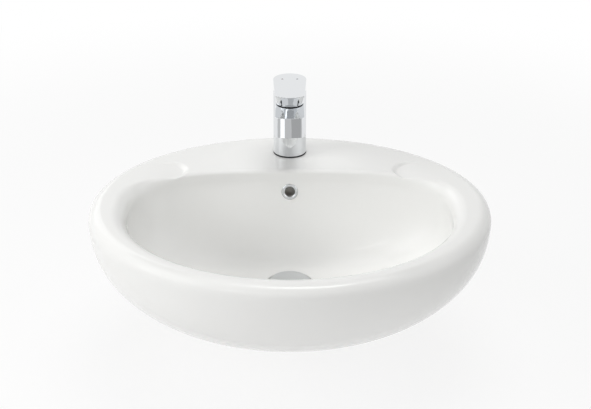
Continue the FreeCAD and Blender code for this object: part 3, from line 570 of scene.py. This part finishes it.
def press_ledge(ledge, point):
    """Lowers a point of the top to the ledge, with a rounded edge between the two."""
    tray = ledge_height(ledge, point)
    overlap = max(0.0, ledge.softness - abs(point.z - tray)) / ledge.softness
    return Vector((point.x, point.y, min(point.z, tray) - overlap ** 2 * ledge.softness / 4))


def clay_rows(sizes, ledge, grid):
    """Closed rows of points from the waste hole up the bowl, over the rim and down the outside."""
    bowl_rows = [bowl_ring(sizes, 1 - step / grid.bowl_rows) for step in range(grid.bowl_rows)]
    edge_rows = [edge_ring(sizes, step / grid.edge_rows) for step in range(grid.edge_rows + 1)]
    roll_rows = [roll_ring(sizes, step / grid.roll_rows) for step in range(grid.roll_rows + 1)]
    deep_end = (sizes.crest_z - sizes.roll - sizes.underside_z) / sizes.belly_depth
    last = math.asin(deep_end ** (sizes.belly_power / 2)) / (math.pi / 2)
    belly_rows = [belly_ring(sizes, last * (step + 1) / grid.belly_rows) for step in range(grid.belly_rows)]

    def drawn(rings):
        return [ring_points(ring, grid.columns) for ring in rings]
    inner = drawn(waste_rings(sizes) + bowl_rows + edge_rows)
    roll = drawn(roll_rows)
    deck = [[a.lerp(b, step / grid.deck_rows) for a, b in zip(inner[-1], roll[0])]
            for step in range(1, grid.deck_rows)]
    top = [[press_ledge(ledge, point) for point in row] for row in inner + deck + roll]
    return top + drawn(belly_rows)


def skin(name, rings, columns, material):
    """A closed solid through outlines, one above the other."""
    rows = [ring_points(ring, columns) for ring in rings]
    return mesh_from(name, lambda drawn: skin_rows(drawn, rows), material)


def bowl_wall(name, sizes, grid, growth, material):
    """The bowl with its wall's thickness all round, up to the rim's top."""
    rings = [bowl_ring(sizes, 1 - step / grid.hidden_rows, growth) for step in range(grid.hidden_rows + 1)]
    rings.append(rings[-1]._replace(z=sizes.crest_z))
    return skin(name, rings, grid.hidden_columns, material)


def block(name, x, y, z, material):
    """A block between two places along each axis."""
    profile = [(y[0], z[0]), (y[1], z[0]), (y[1], z[1]), (y[0], z[1])]
    piece = prism(name, profile, (x[1] - x[0]) / 2, material)
    piece.data.transform(Matrix.Translation(((x[0] + x[1]) / 2, 0, 0)))
    return piece


def under_deck(sizes, grid, clay):
    """The hollow under the tap deck, inside the lip."""
    inset = sizes.wall + 1.0 * MM
    rings = [belly_ring(sizes, 0.0, inset)._replace(z=z) for z in (-10 * MM, sizes.crest_z - sizes.wall)]

    def build(drawn):
        skin_rows(drawn, [ring_points(ring, grid.hidden_columns) for ring in rings])
        cut = bmesh.ops.bisect_plane(drawn, geom=drawn.verts[:] + drawn.edges[:] + drawn.faces[:],
                                     clear_inner=True, plane_co=(0, sizes.shoulder_y, 0), plane_no=(0, 1, 0))
        edges = [item for item in cut["geom_cut"] if isinstance(item, bmesh.types.BMEdge)]
        bmesh.ops.edgeloop_fill(drawn, edges=edges)
    return mesh_from("under_deck", build, clay)


def hidden_space(sizes, grid, clay):
    """What is hollow behind the shoulders and under the deck, round the bowl's wall, boss and duct."""
    shoulder = sizes.shoulder_y
    web = (shoulder - sizes.pad_height, shoulder + 1 * MM)
    deck_z = sizes.crest_z - sizes.wall
    space = block("space", (-FAR, FAR), (shoulder, FAR), (-FAR, 0.0), clay)
    round_bowl = block("round_bowl", (-FAR, FAR), web, (-FAR, deck_z), clay)
    grown = bowl_wall("grown_bowl", sizes, grid, sizes.wall + sizes.pad_clearance, clay)
    boolean(round_bowl, [grown], "INTERSECT")
    middle = block("middle", (-sizes.pad_inner, sizes.pad_inner), web, (-FAR, 0.0), clay)
    boolean(space, [under_deck(sizes, grid, clay), round_bowl, middle], "UNION")
    boss = rod("boss", sizes.boss, Vector((0, WASTE_Y, -FAR)), Vector((0, WASTE_Y, sizes.bowl_floor)), clay)
    rib = prism("rib", duct_profile(sizes, outer=True), sizes.rib_half_width, clay)
    wall = bowl_wall("bowl_wall", sizes, grid, sizes.wall, clay)
    return boolean(space, [wall, boss, rib], "DIFFERENCE")


def duct_profile(sizes, outer):
    """The overflow duct in side view, as (y, z) corners: its clay, or its hollow."""
    back = sizes.bowl_back
    if outer:
        near, far = back - 2 * MM, back + 32 * MM
        top_z = sizes.crest_z - sizes.wall + 1 * MM
        floor, foot_y = sizes.underside_z + 6 * MM, WASTE_Y + 10 * MM
        roof = floor + 32 * MM
        return [(near, top_z), (far, top_z), (far, -68 * MM), (back - 3 * MM, floor), (foot_y, floor),
                (foot_y, roof), (WASTE_Y + 60 * MM, roof), (near, -60 * MM)]
    near, far = back + 10 * MM, back + 24 * MM
    top_z, bend_z = sizes.crest_z - 20 * MM, -64 * MM
    floor, foot_y = sizes.underside_z + 14 * MM, WASTE_Y + 15 * MM
    return [(near, top_z), (far, top_z), (far, bend_z), (back - 8 * MM, floor), (foot_y, floor),
            (foot_y, floor + 12 * MM), (back - 18 * MM, floor + 15 * MM), (near, bend_z)]


def clay_bores(sizes, clay):
    """The bores through the clay: overflow, its ring's seat, tap hole and casting vents."""
    inward = Vector((0, math.cos(sizes.overflow_tilt), -math.sin(sizes.overflow_tilt)))
    seat = Vector((0, sizes.overflow_y, sizes.overflow_z))
    front = seat - inward * 8 * MM
    bores = [rod("overflow_bore", sizes.overflow_hole, front, seat + inward * 20 * MM, clay),
             rod("ring_seat", sizes.seat_radius, front, seat + inward * sizes.seat_depth, clay),
             rod("tap_bore", sizes.tap_hole, Vector((0, TAP_Y, 0)), Vector((0, TAP_Y, 60 * MM)), clay)]
    for side in (-1, 1):
        start = Vector((side * sizes.vent_x, sizes.shoulder_y - 14 * MM, sizes.vent_z))
        bores.append(rod("vent", sizes.vent_radius, start, start + Vector((0, 30 * MM, 0)), clay, 24))
    return bores


def make_clay(sizes, ledge, grid):
    glaze = material_for("vitreous_china")
    clay = bare_clay()
    rows = clay_rows(sizes, ledge, grid)
    basin = mesh_from("glazed_basin", lambda drawn: skin_rows(drawn, rows, loop=True), glaze)
    duct = prism("duct", duct_profile(sizes, outer=False), sizes.duct_half_width, clay)
    boolean(basin, [hidden_space(sizes, grid, clay), duct, *clay_bores(sizes, clay)], "DIFFERENCE")
    smooth(basin, 38.0)
    finish_piece(basin, "basin", "vitreous_china", "basin_body")


# ---- Fittings ------------------------------------------------------------------------------------
SLOTS = {entry["node"]: entry["material_slot"] for entry in frame["record"]["subparts"]}
BODIES = {node: body for body, nodes in frame["record"]["behaviour"]["bodies"].items() for node in nodes}
# How far the sharp edges of a finished copy are broken, millimetres
EDGES = {
    "tap_body": 0.15, "handle": 0.2, "overflow_ring": 0.3, "waste_body": 0.2, "plug_cap": 0.5,
    "waste_backnut": 0.6, "waste_lower_seal": 0.6, "waste_washer": 0.3, "base_gasket": 0.3,
    "clamp_plate": 0.4, "rubber_horseshoe": 0.5, "clamp_nut": 0.3, "aerator_housing": 0.2,
}

WELD = 0.002 * MM             # corners nearer than this are one corner
FLAT_TURN = math.radians(0.6)  # faces that turn less than this are one face
EDGE_STEPS = 3                # steps over a broken edge


def finished_copy(node, groove=None, angle=32.0):
    """A copy of a CAD node with its edges broken and smooth faces; groove is cut out of it first."""
    source = frame["nodes"][node]
    slot = SLOTS[node]
    edge = EDGES.get(node, 0.0) * MM
    mesh = source.data.copy()
    drawn = bmesh.new()
    drawn.from_mesh(mesh)
    bmesh.ops.remove_doubles(drawn, verts=drawn.verts, dist=WELD)
    bmesh.ops.dissolve_limit(drawn, angle_limit=FLAT_TURN, verts=drawn.verts, edges=drawn.edges)
    drawn.to_mesh(mesh)
    drawn.free()
    mesh.materials.clear()
    mesh.materials.append(material_for(slot))
    piece = new_piece(node + "_finished", mesh)
    if groove:
        boolean(piece, [groove], "DIFFERENCE")
    if edge:
        rounding = piece.modifiers.new("edge", "BEVEL")
        rounding.width = edge
        rounding.segments = EDGE_STEPS
        rounding.limit_method = "ANGLE"
        rounding.angle_limit = math.radians(angle)
        bake(piece)
    smooth(piece, angle)
    flat = piece.modifiers.new("flat", "WEIGHTED_NORMAL")
    flat.keep_sharp = True
    bake(piece)
    finish_piece(piece, BODIES[node], slot, node)


def finish_nodes(*nodes):
    for node in nodes:
        finished_copy(node)


# ---- Springs and threads -------------------------------------------------------------------------
THREAD_SIDES = 96             # sides of a threaded rod's core
THREAD_STEPS = 48             # steps in one turn of a thread
HELIX_INPUTS = {"Radius": "NodeSocketFloat", "Low": "NodeSocketFloat", "High": "NodeSocketFloat",
                "Turns": "NodeSocketFloat", "Ease": "NodeSocketFloat", "Wire radius": "NodeSocketFloat",
                "Wire sides": "NodeSocketInt", "Steps": "NodeSocketInt", "Material": "NodeSocketMaterial"}


def calculate(tree, operation, first, second=0.0):
    return add_node(tree, "ShaderNodeMath", {0: first, 1: second}, operation=operation).outputs[0]


def helix_tree():
    """A wire wound round Z from Low to High; Ease, from 0 to 1, closes up the turns at both ends."""
    tree = bpy.data.node_groups.new("wound_helix", "GeometryNodeTree")
    for name, kind in HELIX_INPUTS.items():
        tree.interface.new_socket(name=name, in_out="INPUT", socket_type=kind)
    tree.interface.new_socket(name="Geometry", in_out="OUTPUT", socket_type="NodeSocketGeometry")
    given = add_node(tree, "NodeGroupInput").outputs
    line = add_node(tree, "GeometryNodeCurvePrimitiveLine")
    points = add_node(tree, "GeometryNodeResampleCurve", {"Curve": line.outputs[0], "Count": given["Steps"]})
    along = add_node(tree, "GeometryNodeSplineParameter").outputs["Factor"]
    angle = calculate(tree, "MULTIPLY", calculate(tree, "MULTIPLY", along, 2 * math.pi), given["Turns"])
    x = calculate(tree, "MULTIPLY", calculate(tree, "COSINE", angle), given["Radius"])
    y = calculate(tree, "MULTIPLY", calculate(tree, "SINE", angle), given["Radius"])
    eased = add_node(tree, "ShaderNodeMapRange", {"Value": along}, interpolation_type="SMOOTHSTEP")
    climb = add_node(tree, "ShaderNodeMix", {"Factor": given["Ease"], "A": along,
                                             "B": eased.outputs["Result"]})
    z = add_node(tree, "ShaderNodeMapRange", {"Value": climb.outputs["Result"], "To Min": given["Low"],
                                              "To Max": given["High"]})
    place = add_node(tree, "ShaderNodeCombineXYZ", {"X": x, "Y": y, "Z": z.outputs["Result"]})
    wound = add_node(tree, "GeometryNodeSetPosition", {"Geometry": points.outputs[0],
                                                       "Position": place.outputs[0]})
    upright = add_node(tree, "GeometryNodeSetCurveNormal", {"Curve": wound.outputs[0]}, mode="Z_UP")
    wire = add_node(tree, "GeometryNodeCurvePrimitiveCircle", {"Resolution": given["Wire sides"],
                                                               "Radius": given["Wire radius"]})
    solid = add_node(tree, "GeometryNodeCurveToMesh", {"Curve": upright.outputs[0],
                                                       "Profile Curve": wire.outputs[0], "Fill Caps": True})
    real = add_node(tree, "GeometryNodeRealizeInstances", {"Geometry": solid.outputs[0]})
    coated = add_node(tree, "GeometryNodeSetMaterial", {"Geometry": real.outputs[0],
                                                        "Material": given["Material"]})
    add_node(tree, "NodeGroupOutput", {"Geometry": coated.outputs[0]})
    return tree


def wind(name, slot, x, y, **values):
    """A plain mesh of the helix about an upright axis at x and y."""
    tree = bpy.data.node_groups.get("wound_helix") or helix_tree()
    piece = new_piece(name, bpy.data.meshes.new(name))
    winding = piece.modifiers.new("winding", "NODES")
    winding.node_group = tree
    values["Material"] = material_for(slot)
    for item in tree.interface.items_tree:
        if item.in_out == "INPUT":
            winding[item.identifier] = values[item.name.replace(" ", "_")]
    bake(piece)
    piece.data.transform(Matrix.Translation((x, y, 0)))
    return piece


def make_spring(coil):
    low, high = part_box("plug_spring")
    middle = (low + high) / 2
    spring = wind("plug_spring_coil", "steel", middle.x, middle.y, Radius=coil.spring_radius,
                  Low=low.z + coil.spring_wire, High=high.z - coil.spring_wire, Turns=coil.spring_turns,
                  Ease=coil.spring_ease, Wire_radius=coil.spring_wire, Wire_sides=16, Steps=400)
    smooth(spring, 60.0)
    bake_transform(spring)
    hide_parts("plug_spring")


def thread_node(node, pitch, low_z, high_z):
    """A finished copy of a round node, turned down between two heights, and the thread's ridge round it."""
    low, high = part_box(node)
    axis = (low + high) / 2
    crest = max(point.co.y for point in frame["nodes"][node].data.vertices if point.co.z < high_z) - axis.y
    half = pitch / 2
    core = crest - half
    bite = 1.0 * MM
    finish = material_for(SLOTS[node])

    def upright(name, radius, bottom, top):
        return rod(name, radius, Vector((axis.x, axis.y, bottom)), Vector((axis.x, axis.y, top)), finish,
                   THREAD_SIDES)
    blank = upright("blank", crest + bite, low_z - bite, high_z)
    stay = upright("stay", core, low_z - 2 * bite, high_z + bite)
    finished_copy(node, groove=boolean(blank, [stay], "DIFFERENCE"))
    turns = (high_z - low_z) / pitch - 1
    ridge = wind(node + "_thread", SLOTS[node], axis.x, axis.y, Radius=core, Low=low_z + half,
                 High=high_z - half, Turns=turns, Ease=0.0, Wire_radius=half, Wire_sides=4,
                 Steps=int(turns * THREAD_STEPS))
    finish_piece(ridge, BODIES[node], SLOTS[node], node)


# ---- Stage ---------------------------------------------------------------------------------------
FLOOR_SIZE = (8.0, 8.0)
SHADED_REACH = (0.64, 1.6)    # the floor keeps its shade up to the first distance, and none past the second
WHITE = (1.0, 1.0, 1.0, 1.0)


def sheet(name, place, size, upright, material):
    """A flat rectangle about a place, tipped up by some degrees."""
    def build(drawn):
        matrix = Matrix.Translation(place) @ Matrix.Rotation(math.radians(upright), 4, "X")
        corners = [drawn.verts.new(matrix @ Vector((x * size[0] / 2, y * size[1] / 2, 0)))
                   for x, y in ((-1, -1), (1, -1), (1, 1), (-1, 1))]
        drawn.faces.new(corners)
    return mesh_from(name, build, material)


def seen_rays(tree):
    """1 for the rays that the camera, a mirror or clear glass sends out, and 0 for all others."""
    path = add_node(tree, "ShaderNodeLightPath").outputs
    seen = calculate(tree, "MAXIMUM", path["Is Camera Ray"], path["Is Glossy Ray"])
    return calculate(tree, "MAXIMUM", seen, path["Is Transmission Ray"])


def pale_floor(near_white):
    """A pale floor that keeps shadows near the object and is plain white further off and in the mirror."""
    material, tree, shader, places = new_material("pale_floor", "#f2f2f2", roughness=0.9)
    away = add_node(tree, "ShaderNodeVectorMath", {0: places}, operation="LENGTH")
    far = add_node(tree, "ShaderNodeMapRange", {"Value": away.outputs["Value"], "From Min": SHADED_REACH[0],
                                                "From Max": SHADED_REACH[1], "To Min": near_white},
                   interpolation_type="SMOOTHSTEP")
    level = calculate(tree, "MULTIPLY", seen_rays(tree), far.outputs["Result"])
    glow = add_node(tree, "ShaderNodeEmission", {"Color": WHITE, "Strength": 1.0})
    mix = add_node(tree, "ShaderNodeMixShader", {0: level, 1: shader.outputs[0], 2: glow.outputs[0]})
    output = next(node for node in tree.nodes if node.type == "OUTPUT_MATERIAL")
    tree.links.new(mix.outputs[0], output.inputs["Surface"])
    return material


def make_floor(settings):
    floor_z = CAD_BOX[0][2] - settings.floor_drop
    sheet("floor", (0, 0, floor_z), FLOOR_SIZE, 0.0, pale_floor(settings.near_white))


def make_room(settings):
    """The pale room: white where it is seen or mirrored, and a soft even light elsewhere."""
    world = bpy.data.worlds.new("pale_room")
    bpy.context.scene.world = world
    world.use_nodes = True
    tree = world.node_tree
    tree.nodes.clear()
    strength = add_node(tree, "ShaderNodeMapRange", {"Value": seen_rays(tree), "To Min": settings.room_level,
                                                     "To Max": 1.0})
    back = add_node(tree, "ShaderNodeBackground", {"Color": WHITE, "Strength": strength.outputs["Result"]})
    add_node(tree, "ShaderNodeOutputWorld", {"Surface": back.outputs[0]})


# Where each soft lamp stands, and its width and height; all of them face the middle of the basin
LAMPS = {
    "key": ((-1.9, -0.9, 1.5), (1.4, 1.4)),
    "low_key": ((-2.3, -0.7, 1.0), (1.4, 1.0)),
    "front": ((-0.9, -2.6, 1.3), (1.2, 1.2)),
    "far_front": ((0.6, -2.8, 0.75), (1.6, 0.8)),
    "top": ((0.2, 0.0, 2.2), (1.4, 1.4)),
    "back": ((-1.3, 1.7, 1.3), (1.4, 1.4)),
    "right": ((2.1, -0.6, 1.1), (1.4, 1.4)),
}
LAMPS_FACE = Vector((0, -0.24, 0))
UNMIRRORED = ("low_key",)     # a narrower card stands for its reflection


def make_lamp(name, place, size, power):
    lamp = bpy.data.lights.new(name + "_lamp", "AREA")
    lamp.shape = "RECTANGLE"
    lamp.size = size[0]
    lamp.size_y = size[1]
    lamp.energy = power
    holder = bpy.data.objects.new(name + "_lamp", lamp)
    holder.location = place
    holder.rotation_euler = (LAMPS_FACE - Vector(place)).to_track_quat("-Z", "Y").to_euler()
    holder.visible_glossy = name not in UNMIRRORED
    bpy.context.scene.collection.objects.link(holder)


# Glowing cards, no lamps, that paint reflections into the polished metal and the glaze: middle, width and
# height, degrees from level, grey and its strength
CARDS = {
    "front_grey": ((0.0, -2.52, 0.0), (4.0, 0.5), 90.0, "#d2d2d2", 1.0),
    "front_dark": ((0.60, -2.5, 0.0), (0.90, 0.5), 90.0, "#b4b4b4", 1.0),
    "front_white": ((-0.66, -2.5, 0.0), (0.42, 0.5), 90.0, "#ffffff", 1.4),
    "front_high": ((0.0, -2.4, 0.98), (3.2, 1.4), 90.0, "#d6d6d6", 1.0),
    # painted highlight: a bright card for the streak along the rim and on the deck, in place of the low key
    # lamp's own reflection
    "left_streak": ((-2.1, -0.72, 1.0), (0.9, 0.7), 90.0, "#ffffff", 2.4),
    "high_front": ((0.0, -1.5, 1.9), (2.6, 1.55), 0.0, "#d6d6d6", 1.0),
    "high_back": ((0.0, 0.6, 1.9), (2.6, 1.2), 0.0, "#3c3c3c", 1.0),
    "over_lever": ((0.0, -0.17, 0.70), (0.66, 0.38), 0.0, "#ffffff", 1.0),
    "over_middle": ((0.045, -0.17, 0.69), (0.23, 0.38), 0.0, "#d6d6d6", 1.0),
}


def make_card(name, place, size, upright, colour, strength):
    """A glowing card that shows only in mirror reflections, where it paints a reflection; it lights nothing
    and casts no shadow.
    """
    material = bpy.data.materials.new(name)
    material.use_nodes = True
    tree = material.node_tree
    tree.nodes.clear()
    glow = add_node(tree, "ShaderNodeEmission", {"Color": srgb(colour), "Strength": strength})
    add_node(tree, "ShaderNodeOutputMaterial", {"Surface": glow.outputs[0]})
    card = sheet(name, place, size, upright, material)
    for rays in ("camera", "diffuse", "transmission", "volume_scatter", "shadow"):
        setattr(card, "visible_" + rays, False)


SENSOR_WIDTH = 36.0           # millimetres


def make_camera(settings):
    camera = bpy.data.cameras.new("camera")
    camera.lens = settings.lens
    camera.sensor_width = SENSOR_WIDTH
    camera.shift_x = settings.camera_shift
    camera.clip_start = 0.01
    holder = bpy.data.objects.new("camera", camera)
    holder.location = settings.camera_place
    holder.rotation_euler = (math.pi / 2 - settings.camera_pitch, 0, 0)
    bpy.context.scene.collection.objects.link(holder)
    bpy.context.scene.camera = holder


# ---- Operators -----------------------------------------------------------------------------------
class BASIN_OT_clay(bpy.types.Operator):
    """Makes the glazed basin"""
    bl_idname = "basin.clay"
    bl_label = "Glazed basin"

    def execute(self, context):
        scene = context.scene
        make_clay(scene.basin_sizes, scene.ledge_sizes, scene.grid_sizes)
        return {"FINISHED"}


class BASIN_OT_overflow(bpy.types.Operator):
    """Finishes the overflow's trim ring"""
    bl_idname = "basin.overflow"
    bl_label = "Overflow ring"

    def execute(self, context):
        finish_nodes("overflow_ring")
        return {"FINISHED"}


class BASIN_OT_waste(bpy.types.Operator):
    """Finishes the waste's casting with its threaded tail, and the seals, washer, nut and guide"""
    bl_idname = "basin.waste"
    bl_label = "Waste"

    def execute(self, context):
        low_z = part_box("waste_body")[0].z
        coil = context.scene.coil_sizes
        thread_node("waste_body", coil.tail_pitch, low_z, low_z + coil.tail_length)
        finish_nodes("waste_upper_seal", "waste_lower_seal", "waste_washer", "waste_backnut", "plug_guide")
        return {"FINISHED"}


class BASIN_OT_plug(bpy.types.Operator):
    """Finishes the plug with its seal, stem and catch"""
    bl_idname = "basin.plug"
    bl_label = "Plug"

    def execute(self, context):
        finish_nodes("plug_cap", "plug_seal", "plug_stem", "stem_catch")
        return {"FINISHED"}


class BASIN_OT_spring(bpy.types.Operator):
    """Winds the spring round the plug's stem"""
    bl_idname = "basin.spring"
    bl_label = "Plug spring"

    def execute(self, context):
        make_spring(context.scene.coil_sizes)
        return {"FINISHED"}


class BASIN_OT_tap(bpy.types.Operator):
    """Finishes the tap's casting and the gasket under it"""
    bl_idname = "basin.tap"
    bl_label = "Tap body"

    def execute(self, context):
        finish_nodes("tap_body", "base_gasket")
        return {"FINISHED"}


class BASIN_OT_lever(bpy.types.Operator):
    """Finishes the lever with its screw, stem and two dots"""
    bl_idname = "basin.lever"
    bl_label = "Lever"

    def execute(self, context):
        finish_nodes("handle", "handle_screw", "lever_stem", "hot_dot", "cold_dot")
        return {"FINISHED"}


class BASIN_OT_aerator(bpy.types.Operator):
    """Finishes the aerator in the spout"""
    bl_idname = "basin.aerator"
    bl_label = "Aerator"

    def execute(self, context):
        finish_nodes("aerator_housing", "aerator_insert", "aerator_seal")
        return {"FINISHED"}


class BASIN_OT_cartridge(bpy.types.Operator):
    """Finishes the mixing cartridge, its nut and the dome over it"""
    bl_idname = "basin.cartridge"
    bl_label = "Cartridge"

    def execute(self, context):
        finish_nodes("cartridge_seals", "cartridge_base", "fixed_disc", "moving_disc", "disc_carrier",
                     "cartridge_housing", "lever_carriage", "pivot_pin", "cartridge_nut", "cap_dome")
        return {"FINISHED"}


class BASIN_OT_fixing(bpy.types.Operator):
    """Finishes the stud with its thread, and the horseshoe, plate and nut under the deck"""
    bl_idname = "basin.fixing"
    bl_label = "Tap fixing"

    def execute(self, context):
        stud_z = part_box("mounting_stud")[0].z
        thread_node("mounting_stud", context.scene.coil_sizes.stud_pitch, stud_z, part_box("clamp_nut")[0].z)
        finish_nodes("rubber_horseshoe", "clamp_plate", "clamp_nut")
        return {"FINISHED"}


class BASIN_OT_stage(bpy.types.Operator):
    """Sets the floor, the room, the lamps and the camera"""
    bl_idname = "basin.stage"
    bl_label = "Stage"

    def execute(self, context):
        settings = context.scene.stage_settings
        make_floor(settings)
        make_room(settings)
        for name, (place, size) in LAMPS.items():
            make_lamp(name, place, size, getattr(settings, name + "_power"))
        for name, card in CARDS.items():
            make_card(name + "_card", *card)
        make_camera(settings)
        context.scene.view_settings.view_transform = "Standard"
        return {"FINISHED"}


class BASIN_PT_pieces(bpy.types.Panel):
    """Lists the sizes and the pieces in the 3D view's sidebar"""
    bl_idname = "BASIN_PT_pieces"
    bl_label = "Semi recessed basin"
    bl_space_type = "VIEW_3D"
    bl_region_type = "UI"
    bl_category = "Basin"

    def draw(self, context):
        for name, group in SETTINGS.items():
            column = self.layout.column(heading=group.bl_rna.description)
            for size in group.__annotations__:
                column.prop(getattr(context.scene, name), size)
        for operator in OPERATORS:
            self.layout.operator(operator.bl_idname)


OPERATORS = (BASIN_OT_clay, BASIN_OT_overflow, BASIN_OT_waste, BASIN_OT_plug, BASIN_OT_spring, BASIN_OT_tap,
             BASIN_OT_lever, BASIN_OT_aerator, BASIN_OT_cartridge, BASIN_OT_fixing, BASIN_OT_stage)


def register():
    for group in (*SETTINGS.values(), *OPERATORS, BASIN_PT_pieces):
        bpy.utils.register_class(group)
    for name, group in SETTINGS.items():
        setattr(bpy.types.Scene, name, PointerProperty(type=group))


def unregister():
    for name in SETTINGS:
        delattr(bpy.types.Scene, name)
    for group in reversed((*SETTINGS.values(), *OPERATORS, BASIN_PT_pieces)):
        bpy.utils.unregister_class(group)


def main():
    register()
    bpy.ops.basin.clay()
    bpy.ops.basin.overflow()
    bpy.ops.basin.waste()
    bpy.ops.basin.plug()
    bpy.ops.basin.spring()
    bpy.ops.basin.tap()
    bpy.ops.basin.lever()
    bpy.ops.basin.aerator()
    bpy.ops.basin.cartridge()
    bpy.ops.basin.fixing()
    bpy.ops.basin.stage()


if __name__ == "__main__":
    main()
